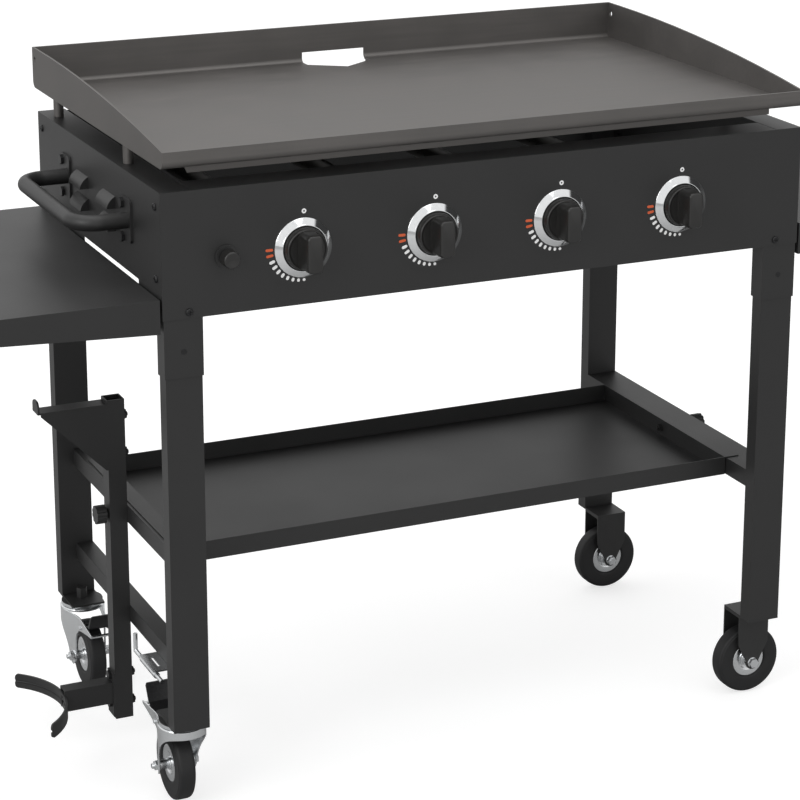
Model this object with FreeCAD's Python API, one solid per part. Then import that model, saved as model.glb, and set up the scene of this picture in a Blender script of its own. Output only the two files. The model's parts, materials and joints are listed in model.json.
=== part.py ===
import FreeCAD, Part
import math
import os

# Outdoor gas griddle station: a steel griddle plate on a gas-fired body, four legs with a tray shelf
# between them, two side shelves, a gas bottle carrier on the left and four wheels.
# Millimetres. +Z is up, the knobs face -Y, and the origin is on the ground under the middle.

# Heights, from the ground up
wheel_radius = 50.0
caster_height = 125.0
mount_plate_thickness = 3.0
leg_length = 526.0
leg_to_body_gap = 32.0
panel_height = 163.7
plate_foot_height = 29.7

# Body box
body_width = 924.0
body_depth = 525.0
sheet = 1.2
fit_gap = 0.3
side_rail_width = 39.0
front_flange_depth = 50.0
bottom_flange_depth = 18.0
side_flange_gap = 3.0
hole_past_stem = 2.0
screw_past_sheets = 4.0

# Griddle plate
plate_width = 920.0
plate_depth = 556.0
plate_overhang_front = 6.7
plate_sheet = 3.6
plate_side_wall = 3.0
plate_front_height = 22.4
plate_rear_height = 57.0
plate_bend_radius = 6.4
side_level_run = 30.0
lid_hole_radius = 4.0
lid_hole_from_rear = 12.6
lid_hole_below_top = 16.3
port_width = 99.0
port_height = 17.8
port_offset_x = -3.5
port_straight_run = 25.0
port_apex_run = 59.0
chute_slope = 25.0
chute_reach = 20.0
chute_root = 1.0
chute_wall_height = 12.0
stiffener_inset = 36.0
stiffener_setback = 30.0
stiffener_drop = 13.0
stiffener_thickness = 3.0
foot_radius = 7.0
foot_inset_x = 16.5
foot_front_y = 170.0
foot_rear_y = 477.0
foot_pin_radius = 3.9
foot_pin_length = 6.0

# Grease cup behind the port
cup_radius = 40.0
cup_rim_radius = 46.0
cup_height = 88.0
cup_wall = 1.0
cup_below_body_top = 16.0
cup_arm_height = 6.0
cup_stand_off = 3.0
cup_screw_spread = 48.0
cup_screw_drop = 30.0
cup_plate_height = 42.0
cup_arm_setback = 6.0

# Knobs, valves and igniter
knob_pitch = 182.5
knob_height = 75.0
bezel_radius = 39.0
bezel_inner_radius = 29.6
bezel_depth = 8.0
bezel_taper = 2.5
knob_radius = 28.6
knob_rear_gap = 5.0
knob_disc_depth = 12.0
knob_stand_out = 44.0
knob_grip_width = 21.0
knob_grip_height = 50.0
knob_grip_draft = 1.0
stem_radius = 3.0
rotor_radius = 6.0
rotor_length = 14.0
rotor_setback = 4.0
stem_behind_face = 18.0
running_gap = 0.08
valve_width = 22.0
valve_neck_radius = 9.0
valve_neck_length = 13.0
valve_length = 32.0
knob_push_travel = 3.0
spud_radius = 5.0
spud_length = 12.0
jet_radius = 1.0
manifold_radius = 9.0
manifold_wall = 1.5
manifold_past_igniter = 40.0
manifold_past_knob = 20.0
inlet_radius = 8.0
inlet_length = 30.0
inlet_thread = 21.0
inlet_collar_radius = 10.5
burner_radius = 14.0
burner_wall = 1.0
burner_neck_length = 60.0
burner_port_radius = 1.5
burner_port_pitch = 24.0
burner_tail_radius = 4.0
burner_tail_past = 2.0
burner_collar_radius = 7.0
burner_collar_length = 8.0
burner_neck_wall = 2.0
burner_behind_valve = 2.0
electrode_radius = 3.5
electrode_length = 40.0
igniter_from_left = 85.0
igniter_flange_radius = 15.0
igniter_flange_depth = 3.0
igniter_barrel_radius = 11.0
igniter_barrel_length = 45.0
igniter_barrel_end = 3.0
igniter_nut_thickness = 5.0
button_radius = 11.5
button_stem_radius = 6.0
button_stand_out = 25.0
button_cap_depth = 17.0
button_round = 2.0
button_stem_length = 30.0

# Left side handle
handle_tube_radius = 10.5
handle_reach = 68.0
handle_front_y = 124.0
handle_rear_y = 385.0
handle_height = 101.0
handle_bend_radius = 32.0
handle_plate_thickness = 3.0
handle_plate_width = 39.0
handle_plate_height = 58.0
handle_bolt_offset_y = 16.0
handle_bolt_spread_z = 45.0
handle_bolt_drop = 2.5
handle_bolt_from_edge = 9.0
handle_plate_corner = 6.0

# Louvres in the left side panel
louvre_length = 50.0
louvre_rise = 12.0
louvre_height = 16.0
louvre_bulge = 1.8
louvre_front_y = 204.0
louvre_rear_y = 320.0
louvre_low_z = 73.0
louvre_pitch_z = 30.0

# Long air slot in each side panel, just above the side shelf
air_slot_front_y = 91.0
air_slot_rear_y = 322.0
air_slot_above_shelf = 3.7
air_slot_height = 7.0
air_slot_corner = 2.5

# Side shelves
shelf_reach = 328.0
shelf_depth = 519.0
shelf_below_body_top = 136.0
shelf_gap = 3.0
shelf_skirt_inner = 44.5
shelf_skirt_outer = 28.5
shelf_corner_radius = 14.0
shelf_skirt_past_inner = 30.0
stud_neck_radius = 3.0
stud_head_radius = 5.5
stud_head_depth = 2.0
stud_lift = 10.0
stud_inset_y = 80.0
stud_above_flange = 1.0

# Legs, brackets and crossbars
leg_width = 49.0
leg_thickness = 23.2
tube_wall = 1.5
bracket_sheet = 1.2
bracket_depth = 27.0
bracket_drop = 77.0
bracket_top_gap = 7.0
leg_clearance = 0.2
pivot_below_leg_top = 11.0
pivot_bolt_radius = 4.0
crossbar_size = 25.0
upper_crossbar_height = 327.0
lower_crossbar_height = 180.0

# Tray shelf between the legs
tray_depth = 362.0
tray_front_y = 79.0
tray_wall_height = 25.5
tray_lip = 22.0
tray_end_gap = 1.5
tray_nut_radius = 6.0
tray_nut_length = 5.0
tray_screw_radius = 3.0
tray_knob_radius = 13.0
tray_knob_length = 14.0
tray_knob_flutes = 10
tray_knob_flute_radius = 2.5
tray_collar_radius = 7.0
tray_collar_length = 3.0
tray_screw_past_nut = 3.0

# Gas bottle carrier on the left
post_size = 25.0
post_front_y = 250.0
post_bottom = 38.0
post_top = 505.0
hook_below_post_top = 5.0
hook_reach = 93.0
hook_sheet = 2.5
hook_plate_drop = 94.0
hook_lip_height = 15.0
hook_lip_round = 8.0
hook_web_inset = 2.0
hook_web_nose = 6.0
hook_bolt_drop = 26.0
hook_bolt_spread = 54.0
cradle_radius = 115.0
cradle_arm_reach = 70.0
cradle_bottom = 62.0
cradle_height = 31.0
cradle_sheet = 3.0
cradle_sweep = 103.0
cradle_strip_rise = 3.5
cradle_strip_height = 20.5
cradle_strip_corner = 5.0
cradle_groove_radius = 2.0
cradle_slot_width = 5.0
cradle_slot_height = 13.0
cradle_plate_height = 64.0
cradle_plate_drop = 20.0
cradle_bolt_gap = 8.0
cradle_bolt_drop = 3.0
cradle_arm_width = 22.0
cradle_arm_sheet = 2.4

# Latch under the lower left crossbar
latch_plate_thickness = 2.0
latch_plate_front_y = 82.0
latch_plate_length = 59.0
latch_slot_inset = 11.0
latch_slot_width = 3.0
latch_slot_margin = 14.0
latch_saddle_width = 4.0
latch_sleeve_radius = 4.4
latch_rod_radius = 3.0
latch_rod_front_y = 60.0
latch_rod_length = 110.0
latch_rod_rise = 25.0

# Wheels, forks and casters
wheel_width = 24.0
tyre_shoulder = 4.0
rim_radius = 26.0
rim_recess_radius = 22.0
rim_recess_depth = 4.0
rim_setback = 1.0
hub_radius = 9.0
axle_radius = 4.0
axle_gap = 0.06
axle_hex_radius = 7.2
axle_sleeve_radius = 7.0
fork_sheet = 2.5
fixed_fork_width = 43.0
fixed_fork_taper_drop = 45.0
fixed_fork_end_radius = 10.5
fixed_fork_from_leg = 1.0
caster_fork_width = 40.0
caster_fork_end_radius = 14.0
caster_axle_tail = 9.0
yoke_setback = 8.0
yoke_low = 51.0
yoke_opening = 24.0
caster_trail = 28.0
caster_swivel_from_leg = 17.5
raceway_radius = 30.0
raceway_height = 4.5
raceway_gap = 0.3
caster_dome_height = 8.0
caster_dome_overhang = 2.0
stem_nut_radius = 8.0
stem_nut_height = 15.0
kingpin_radius = 5.0
kingpin_past_dome = 2.0
caster_plate_past_race = 1.5
tail_reach = 104.0
tail_height = 108.0
tail_web_length = 6.0
pedal_pivot_reach = 52.0
pedal_pivot_height = 102.0
pedal_pin_radius = 3.0
pedal_hub_radius = 5.5
pedal_sheet = 2.5
pedal_fold_reach = 84.0
pedal_fold_height = 115.0
pedal_tip_reach = 98.0
pedal_top_height = 137.0
pedal_slot_margin = 7.0
pedal_slot_below_top = 7.0
pedal_slot_height = 4.0

# Screws and bolts
screw_radius = 2.5
corner_screw_inset = 20.0
corner_screw_drop = 21.0
corner_screw_rise = 50.0
front_bolt_across = 32.34
front_bolt_rise = 8.0
screw_head_radius = 5.0
screw_head_height = 2.6
screw_head_round = 1.9
screw_slot_width = 1.1
screw_slot_depth = 1.3
bolt_radius = 3.0
bolt_head_radius = 7.0
bolt_head_height = 4.0
hex_radius = 8.0
hex_height = 5.5
thread_past_nut = 2.0

# Levels worked out from the heights above
mount_z = caster_height
leg_bottom = mount_z + mount_plate_thickness
leg_top = leg_bottom + leg_length
body_bottom = leg_top + leg_to_body_gap
body_top = body_bottom + panel_height
plate_bottom = body_top + plate_foot_height
knob_z = body_bottom + knob_height
handle_z = body_bottom + handle_height
shelf_top = body_top - shelf_below_body_top
cup_top = body_top - cup_below_body_top

# Depth places: the front face is set so that the whole depth lies evenly about the origin
cup_reach = cup_stand_off + 2 * cup_rim_radius
front = (knob_stand_out - body_depth - cup_reach) / 2
back = front + body_depth
left = -body_width / 2
right = body_width / 2

# The corner brackets lie against the panels, and the legs stand inside the brackets
bracket_inset = sheet + fit_gap
leg_inset = bracket_inset + bracket_sheet + leg_clearance
bracket_front = front + sheet
leg_front = bracket_front + bracket_sheet + leg_clearance
leg_left = left + leg_inset
leg_right = right - leg_inset
crossbar_front = leg_front + leg_thickness
crossbar_length = body_depth - 2 * (crossbar_front - front)
pivot_z = leg_top - pivot_below_leg_top
post_left = leg_left + leg_width - crossbar_size - post_size
post_right = post_left + post_size
post_front = front + post_front_y
post_middle_y = post_front + post_size / 2
tray_floor = upper_crossbar_height
tray_top = upper_crossbar_height + crossbar_size
tray_front = front + tray_front_y
tray_left = leg_left + leg_width + tray_end_gap
tray_right = leg_right - leg_width - tray_end_gap
tray_screw_z = upper_crossbar_height + crossbar_size / 2
stem_tip = front - knob_stand_out + knob_push_travel + stem_behind_face
valve_rear = front + sheet + valve_neck_length + valve_length

X_AXIS = FreeCAD.Vector(1, 0, 0)
Y_AXIS = FreeCAD.Vector(0, 1, 0)
Z_AXIS = FreeCAD.Vector(0, 0, 1)
ORIGIN = FreeCAD.Vector(0, 0, 0)


def block(x0, x1, y0, y1, z0, z1):
    """A box between two corners."""
    return Part.makeBox(x1 - x0, y1 - y0, z1 - z0, FreeCAD.Vector(x0, y0, z0))


def rod_x(x0, x1, y, z, radius):
    """A round bar along X."""
    return Part.makeCylinder(radius, x1 - x0, FreeCAD.Vector(x0, y, z), X_AXIS)


def rod_y(x, y0, y1, z, radius):
    """A round bar along Y."""
    return Part.makeCylinder(radius, y1 - y0, FreeCAD.Vector(x, y0, z), Y_AXIS)


def rod_z(x, y, z0, z1, radius):
    """A round bar along Z."""
    return Part.makeCylinder(radius, z1 - z0, FreeCAD.Vector(x, y, z0), Z_AXIS)


def prism(points, push):
    """A flat outline pushed along a vector."""
    corners = [FreeCAD.Vector(*point) for point in points]
    return Part.Face(Part.makePolygon(corners + corners[:1])).extrude(FreeCAD.Vector(*push))


def fuse(shapes):
    """Shapes joined into one, with leftover seams removed."""
    first, *others = shapes
    return first.fuse(others).removeSplitter() if others else first


def group(shapes):
    """Separate solids kept in one node."""
    return Part.makeCompound(shapes)


def mirror_left_right(shape):
    """The same shape on the other side of the middle."""
    return shape.mirror(ORIGIN, X_AXIS)


def mirror_front_back(shape):
    """The same shape at the other end of the body's depth."""
    return shape.mirror(FreeCAD.Vector(0, (front + back) / 2, 0), Y_AXIS)


def hexagon(centre, direction, radius, height):
    """A hexagonal nut or head standing on its centre point along a direction."""
    ring = [FreeCAD.Vector(radius * math.cos(turn * math.pi / 3), radius * math.sin(turn * math.pi / 3), 0)
            for turn in range(6)]
    face = Part.Face(Part.makePolygon(ring + ring[:1]))
    solid = face.extrude(FreeCAD.Vector(0, 0, height))
    solid.Placement = FreeCAD.Placement(centre, FreeCAD.Rotation(Z_AXIS, direction))
    return solid


def bolt(start, direction, shank_radius, grip, head_radius, head_height, nut=True):
    """A bolt whose head stands outside its start point; the shank runs along direction, and a nut ends it."""
    head = hexagon(start - direction * head_height, direction, head_radius, head_height)
    tail = hex_height + thread_past_nut if nut else 0.0
    shank = Part.makeCylinder(shank_radius, grip + tail, start, direction)
    parts = [head, shank]
    if nut:
        parts.append(hexagon(start + direction * grip, direction, head_radius, hex_height))
    return fuse(parts)


# Griddle plate

def plate_side_outline(x, push):
    """One side wall: low in front, rising in a long shallow arc to the level run at the rear."""
    y0 = front - plate_overhang_front
    y1 = y0 + plate_depth
    low = plate_bottom + plate_front_height
    high = plate_bottom + plate_rear_height
    level = y1 - side_level_run
    rise = high - low
    run = level - y0
    radius = (run * run + rise * rise) / (2 * rise)
    half_turn = math.asin(run / radius) / 2
    middle_z = high - radius + radius * math.cos(half_turn)
    middle = FreeCAD.Vector(x, level - radius * math.sin(half_turn), middle_z)
    corner = plate_bend_radius + plate_sheet
    dip = corner * (1 - math.sqrt(0.5))
    points = {
        "front_low": FreeCAD.Vector(x, y0 + corner, plate_bottom),
        "front_up": FreeCAD.Vector(x, y0, plate_bottom + corner),
        "front_high": FreeCAD.Vector(x, y0, low),
        "level": FreeCAD.Vector(x, level, high),
        "rear_high": FreeCAD.Vector(x, y1, high),
        "rear_up": FreeCAD.Vector(x, y1, plate_bottom + corner),
        "rear_low": FreeCAD.Vector(x, y1 - corner, plate_bottom),
    }
    front_bend = FreeCAD.Vector(x, y0 + dip, plate_bottom + dip)
    rear_bend = FreeCAD.Vector(x, y1 - dip, plate_bottom + dip)
    edges = [
        Part.Arc(points["front_low"], front_bend, points["front_up"]).toShape(),
        Part.makeLine(points["front_up"], points["front_high"]),
        Part.Arc(points["front_high"], middle, points["level"]).toShape(),
        Part.makeLine(points["level"], points["rear_high"]),
        Part.makeLine(points["rear_high"], points["rear_up"]),
        Part.Arc(points["rear_up"], rear_bend, points["rear_low"]).toShape(),
        Part.makeLine(points["rear_low"], points["front_low"]),
    ]
    return Part.Face(Part.Wire(edges)).extrude(FreeCAD.Vector(push, 0, 0))


def plate_pan():
    """The bent sheet between the side walls: front band, floor and rear wall."""
    y0 = front - plate_overhang_front
    y1 = y0 + plate_depth
    outer = block(-plate_width / 2, plate_width / 2, y0, y1, plate_bottom, plate_bottom + plate_rear_height)
    edges = [edge for edge in outer.Edges
             if abs(edge.BoundBox.ZMax - plate_bottom) < 0.01 and edge.BoundBox.XLength > plate_width / 2]
    outer = outer.makeFillet(plate_bend_radius + plate_sheet, edges)
    floor_z = plate_bottom + plate_sheet
    inner = block(-plate_width / 2, plate_width / 2, y0 + plate_sheet, y1 - plate_sheet,
                  floor_z, plate_bottom + 2 * plate_rear_height)
    edges = [edge for edge in inner.Edges
             if abs(edge.BoundBox.ZMax - floor_z) < 0.01 and edge.BoundBox.XLength > plate_width / 2]
    inner = inner.makeFillet(plate_bend_radius, edges)
    above_band = block(-plate_width, plate_width, y0 - 1, y1 - side_level_run,
                       plate_bottom + plate_front_height, plate_bottom + 2 * plate_rear_height)
    return outer.cut(inner).cut(above_band)


def grease_port():
    """The cut through the rear wall and the floor, ending in a point toward the cook."""
    y1 = front - plate_overhang_front + plate_depth
    half = port_width / 2
    outline = [(port_offset_x - half, y1 + 1), (port_offset_x - half, y1 - port_straight_run),
               (port_offset_x, y1 - port_apex_run), (port_offset_x + half, y1 - port_straight_run),
               (port_offset_x + half, y1 + 1)]
    return prism([(x, y, plate_bottom - 1) for x, y in outline], (0, 0, port_height + 1))


def grease_chute():
    """The welded trough that leads grease from the port down over the body's rear edge."""
    y1 = front - plate_overhang_front + plate_depth
    start = y1 - port_apex_run - plate_sheet
    end = y1 + chute_reach
    drop = math.tan(math.radians(chute_slope)) * (end - start)
    half = port_width / 2 + sheet
    root = plate_bottom + chute_root
    side = [(start, root), (start, plate_bottom - sheet), (end, plate_bottom - drop - sheet),
            (end, plate_bottom - drop + chute_wall_height), (y1 - plate_bend_radius - plate_sheet, root)]
    floor = [(start, root), (start, plate_bottom - sheet), (end, plate_bottom - drop - sheet),
             (end, plate_bottom - drop)]
    left_wall = port_offset_x - half
    right_wall = port_offset_x + half - sheet
    return [
        prism([(left_wall, y, z) for y, z in floor], (2 * half, 0, 0)),
        prism([(left_wall, y, z) for y, z in side], (sheet, 0, 0)),
        prism([(right_wall, y, z) for y, z in side], (sheet, 0, 0)),
    ]


def griddle_plate():
    """The cooking plate with its walls, grease port and trough, and a lid pin hole in each side."""
    half = plate_width / 2
    y1 = front - plate_overhang_front + plate_depth
    walls = [plate_side_outline(-half, plate_side_wall), plate_side_outline(half, -plate_side_wall)]
    solid = fuse([plate_pan()] + walls).cut(grease_port())
    solid = fuse([solid] + grease_chute())
    hole_y = y1 - lid_hole_from_rear
    hole_z = plate_bottom + plate_rear_height - lid_hole_below_top
    return solid.cut(rod_x(-half - 1, half + 1, hole_y, hole_z, lid_hole_radius))


def plate_stiffener():
    """The flat bar on edge under the front of the plate, with its left end cut on a slant."""
    y0 = front - plate_overhang_front + stiffener_setback
    x0 = -plate_width / 2 + stiffener_inset
    x1 = -x0
    low = plate_bottom - stiffener_drop
    outline = [(x0, y0, plate_bottom), (x0 + stiffener_drop / 2, y0, low),
               (x1, y0, low), (x1, y0, plate_bottom)]
    return prism(outline, (0, stiffener_thickness, 0))


def foot_places():
    """The four places where the plate stands on the side rails."""
    xs = (left + foot_inset_x, right - foot_inset_x)
    ys = (front + foot_front_y, front + foot_rear_y)
    return [(x, y) for x in xs for y in ys]


def plate_feet():
    """Round feet under the plate, each with a pin that drops into a hole in the rail."""
    feet = []
    for x, y in foot_places():
        post = rod_z(x, y, body_top, plate_bottom, foot_radius)
        pin = rod_z(x, y, body_top - foot_pin_length, body_top, foot_pin_radius)
        feet.append(fuse([post, pin]))
    return group(feet)


# Body panels

def knob_places():
    """The X places of the four burner knobs, from left to right."""
    return [knob_pitch * (index - 1.5) for index in range(4)]


def pivot_places():
    """The X places of the leg pivots: the middle of each leg's width."""
    return (leg_left + leg_width / 2, leg_right - leg_width / 2)


def front_bolt_z():
    """The height of the bolt that holds the front and rear panels to the corner brackets."""
    return body_bottom + front_bolt_rise


def front_bolt_places():
    """The X places of those bolts."""
    shift = leg_inset + front_bolt_across
    return (left + shift, right - shift)


def front_panel():
    """The folded control panel: face, top flange between the rails and bottom flange between the legs."""
    face = block(left, right, front, front + sheet, body_bottom, body_top)
    rail = side_rail_width + sheet
    top = block(left + rail, right - rail, front, front + front_flange_depth, body_top - sheet, body_top)
    legs = leg_inset + leg_width + 2 * bracket_sheet
    low = block(left + legs, right - legs, front, front + bottom_flange_depth,
                body_bottom, body_bottom + sheet)
    panel = fuse([face, top, low])
    for x in knob_places():
        panel = panel.cut(rod_y(x, front - 1, front + 2 * sheet, knob_z, stem_radius + hole_past_stem))
    x = left + igniter_from_left
    panel = panel.cut(rod_y(x, front - 1, front + 2 * sheet, knob_z, igniter_barrel_radius))
    for x in front_bolt_places():
        panel = panel.cut(rod_y(x, front - 1, front + 2 * sheet, front_bolt_z(), bolt_radius))
    return panel


def louvre_hood(y, z):
    """A pressed sloping hood, open below: its outside, and the space inside it and through the panel."""
    shapes = []
    for inset in (0.0, sheet):
        half = louvre_length / 2 - inset
        rise = louvre_rise - inset
        height = louvre_height - inset
        root = left + inset
        top = FreeCAD.Vector(root, y - half, z + height)
        middle = FreeCAD.Vector(left - rise / 2 - louvre_bulge, y - half, z + height / 2 + louvre_bulge)
        lip = FreeCAD.Vector(left - rise, y - half, z)
        edges = [Part.Arc(top, middle, lip).toShape(), Part.makeLine(lip, FreeCAD.Vector(root, y - half, z)),
                 Part.makeLine(FreeCAD.Vector(root, y - half, z), top)]
        shapes.append(Part.Face(Part.Wire(edges)).extrude(Y_AXIS * (2 * half)))
    outer, inner = shapes
    half = louvre_length / 2 - sheet
    way = block(left - sheet / 2, left + 2 * sheet, y - half, y + half, z, z + louvre_height / 2)
    return outer, inner.fuse(way)


def air_slot():
    """The long slot with rounded ends that lets air in above the side shelf."""
    top = shelf_top + air_slot_above_shelf
    slot = block(left - 1, left + 2 * sheet, front + air_slot_front_y, front + air_slot_rear_y,
                 top - air_slot_height, top)
    edges = [edge for edge in slot.Edges if edge.BoundBox.XLength > sheet]
    return slot.makeFillet(air_slot_corner, edges)


def stud_z():
    """The height of the shelf studs: their heads stand just clear of the side panel's bottom flange."""
    return body_bottom + sheet + stud_head_radius + stud_above_flange


def keyhole(y):
    """The slot a shelf stud hangs in: narrow where the stud rests, and wide above for its head."""
    z = stud_z()
    x0 = left - 1
    x1 = left + 2 * sheet
    slot_half = stud_neck_radius + fit_gap
    slot = block(x0, x1, y - slot_half, y + slot_half, z, z + stud_lift)
    rest = rod_x(x0, x1, y, z, slot_half)
    mouth = rod_x(x0, x1, y, z + stud_lift, stud_head_radius + fit_gap)
    return fuse([slot, rest, mouth])


def shelf_stud_places():
    """The Y places of the studs that carry each side shelf."""
    return (front + stud_inset_y, back - stud_inset_y)


def corner_screw_places():
    """The Y and Z places of the screws that hold a side panel to its corner brackets."""
    return [(y, z) for y in (front + corner_screw_inset, back - corner_screw_inset)
            for z in (body_top - corner_screw_drop, body_bottom + corner_screw_rise)]


def handle_bolt_places():
    """The Y and Z places of the bolts that hold the handle's two plates."""
    places = []
    for y in (front + handle_front_y, front + handle_rear_y):
        for half in (-0.5, 0.5):
            z = handle_z - handle_bolt_drop + half * handle_bolt_spread_z
            places.append((y + handle_bolt_offset_y, z))
    return places


def side_panel():
    """A plain left side panel: wall, top rail and bottom flange, with the holes both sides have."""
    y0 = front + sheet + fit_gap
    y1 = back - sheet - fit_gap
    wall = block(left, left + sheet, y0, y1, body_bottom, body_top)
    rail = block(left, left + side_rail_width, y0, y1, body_top - sheet, body_top)
    low = block(left, left + bottom_flange_depth, front + bracket_depth + side_flange_gap,
                back - bracket_depth - side_flange_gap, body_bottom, body_bottom + sheet)
    panel = fuse([wall, rail, low])
    for x, y in foot_places():
        if x < 0:
            panel = panel.cut(rod_z(x, y, body_top - 2 * sheet, body_top + 1, foot_pin_radius + fit_gap))
    for y, z in corner_screw_places():
        panel = panel.cut(rod_x(left - 1, left + 2 * sheet, y, z, screw_radius))
    for y in shelf_stud_places():
        panel = panel.cut(keyhole(y))
    return panel.cut(air_slot())


def left_side_panel():
    """The left panel also has the louvres and the holes for the handle's bolts."""
    panel = side_panel()
    for y in (front + louvre_front_y, front + louvre_rear_y):
        for step in range(2):
            outer, inner = louvre_hood(y, body_bottom + louvre_low_z + step * louvre_pitch_z)
            panel = panel.fuse(outer).cut(inner)
    for y, z in handle_bolt_places():
        panel = panel.cut(rod_x(left - 1, left + 2 * sheet, y, z, bolt_radius))
    return panel.removeSplitter()


def rear_panel():
    """The flat rear wall with its bottom flange and the holes that hold the burners' tails."""
    face = block(left + bracket_inset - sheet, right - bracket_inset + sheet, back - sheet, back,
                 body_bottom, body_top - 2 * sheet)
    legs = leg_inset + leg_width + 2 * bracket_sheet
    low = block(left + legs, right - legs, back - bottom_flange_depth, back, body_bottom, body_bottom + sheet)
    panel = fuse([face, low])
    for x in knob_places():
        panel = panel.cut(rod_y(x, back - 2 * sheet, back + 1, knob_z, burner_tail_radius))
    for x in front_bolt_places():
        panel = panel.cut(rod_y(x, back - 2 * sheet, back + 1, front_bolt_z(), bolt_radius))
    for x in cup_screw_places():
        panel = panel.cut(rod_y(x, back - 2 * sheet, back + 1, cup_screw_z(), screw_radius))
    return panel


def leg_brackets():
    """Four corner channels: each hangs below the body and holds a leg's top on its pivot bolt."""
    x0 = left + bracket_inset
    x1 = leg_left + leg_width + leg_clearance + bracket_sheet
    y0 = bracket_front
    y1 = bracket_front + bracket_depth
    z0 = body_bottom - bracket_drop
    z1 = body_top - bracket_top_gap
    outer = block(x0, x1, y0, y1, z0, z1)
    inner = block(x0 + bracket_sheet, x1 - bracket_sheet, y0 + bracket_sheet, y1 + 1, z0 - 1, z1 + 1)
    channel = outer.cut(inner)
    pivot_x = pivot_places()[0]
    channel = channel.cut(rod_y(pivot_x, y0 - 1, y0 + 2 * bracket_sheet, pivot_z, pivot_bolt_radius))
    bolt_x = front_bolt_places()[0]
    channel = channel.cut(rod_y(bolt_x, y0 - 1, y0 + 2 * bracket_sheet, front_bolt_z(), bolt_radius))
    for y, z in corner_screw_places():
        if y < (front + back) / 2:
            channel = channel.cut(rod_x(x0 - 1, x0 + 2 * bracket_sheet, y, z, screw_radius))
    front_pair = [channel, mirror_left_right(channel)]
    return group(front_pair + [mirror_front_back(shape) for shape in front_pair])


def pan_screw(start, direction, grip):
    """A screw with a domed head outside its start point and a cross recess in the head."""
    top = start - direction * screw_head_height
    head = Part.makeCylinder(screw_head_radius, screw_head_height, top, direction)
    rim = [edge for edge in head.Edges if edge.Closed and (edge.BoundBox.Center - top).Length < 0.01]
    head = head.makeFillet(screw_head_round, rim)
    shank = Part.makeCylinder(screw_radius, grip, start, direction)
    half = screw_slot_width / 2
    reach = screw_head_radius * 0.6
    slots = []
    for wide, tall in ((reach, half), (half, reach)):
        corner = FreeCAD.Vector(-wide, -tall, -screw_slot_depth)
        slot = Part.makeBox(2 * wide, 2 * tall, 2 * screw_slot_depth, corner)
        slot.Placement = FreeCAD.Placement(top, FreeCAD.Rotation(Z_AXIS, direction))
        slots.append(slot)
    return fuse([head, shank]).cut(fuse(slots))


def panel_bolts():
    """All black screws and bolts of the body: side panels, front and rear panels, handle and cup bracket."""
    screws = []
    grip = 2 * sheet + fit_gap + screw_past_sheets
    for y, z in corner_screw_places():
        screw = pan_screw(FreeCAD.Vector(left, y, z), X_AXIS, grip)
        screws += [screw, mirror_left_right(screw)]
    for x in front_bolt_places():
        screw = pan_screw(FreeCAD.Vector(x, front, front_bolt_z()), Y_AXIS, grip)
        screws += [screw, mirror_front_back(screw)]
    for y, z in handle_bolt_places():
        start = FreeCAD.Vector(left - handle_plate_thickness, y, z)
        screws.append(bolt(start, X_AXIS, bolt_radius, handle_plate_thickness + sheet,
                           bolt_head_radius, bolt_head_height))
    for x in cup_screw_places():
        start = FreeCAD.Vector(x, back + cup_stand_off, cup_screw_z())
        screws.append(pan_screw(start, Y_AXIS * -1, cup_stand_off + grip))
    return group(screws)


# Grease cup

def cup_screw_places():
    """The X places of the screws of the cup's bracket."""
    return (port_offset_x - cup_screw_spread / 2, port_offset_x + cup_screw_spread / 2)


def cup_screw_z():
    """The height of those screws."""
    return cup_top - cup_screw_drop


def cup_middle_y():
    """The cup's axis behind the rear panel."""
    return back + cup_stand_off + cup_rim_radius


def grease_cup():
    """A round cup with a flat rim that rests on the bracket's two arms."""
    x = port_offset_x
    y = cup_middle_y()
    z0 = cup_top - cup_height
    outside = rod_z(x, y, z0, cup_top, cup_radius)
    rim = rod_z(x, y, cup_top - sheet, cup_top, cup_rim_radius)
    inside = rod_z(x, y, z0 + cup_wall, cup_top + 1, cup_radius - cup_wall)
    return fuse([outside, rim]).cut(inside)


def grease_cup_bracket():
    """A screwed plate with two level arms that the cup's rim slides onto from behind."""
    x = port_offset_x
    arm_gap = cup_radius + 2 * fit_gap
    arm_top = cup_top - sheet - fit_gap
    reach = back + cup_stand_off + 2 * cup_rim_radius - cup_arm_setback
    plate = block(x - cup_rim_radius, x + cup_rim_radius, back, back + cup_stand_off,
                  cup_top - cup_plate_height, arm_top)
    arms = [block(x + arm_gap, x + cup_rim_radius, back, reach, arm_top - cup_arm_height, arm_top),
            block(x - cup_rim_radius, x - arm_gap, back, reach, arm_top - cup_arm_height, arm_top)]
    bracket = fuse([plate] + arms)
    for hole_x in cup_screw_places():
        bracket = bracket.cut(rod_y(hole_x, back - 1, back + cup_stand_off + 1, cup_screw_z(), screw_radius))
    return bracket


# Gas train and controls

def knob_bezels():
    """Four bright rings round the knobs, seated on the panel, with a bevelled outer edge."""
    rings = []
    for x in knob_places():
        base = Part.makeCone(bezel_radius, bezel_radius - bezel_taper, bezel_depth,
                             FreeCAD.Vector(x, front, knob_z), Y_AXIS * -1)
        hole = rod_y(x, front - bezel_depth - 1, front + 1, knob_z, bezel_inner_radius)
        rings.append(base.cut(hole))
    return group(rings)


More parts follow.
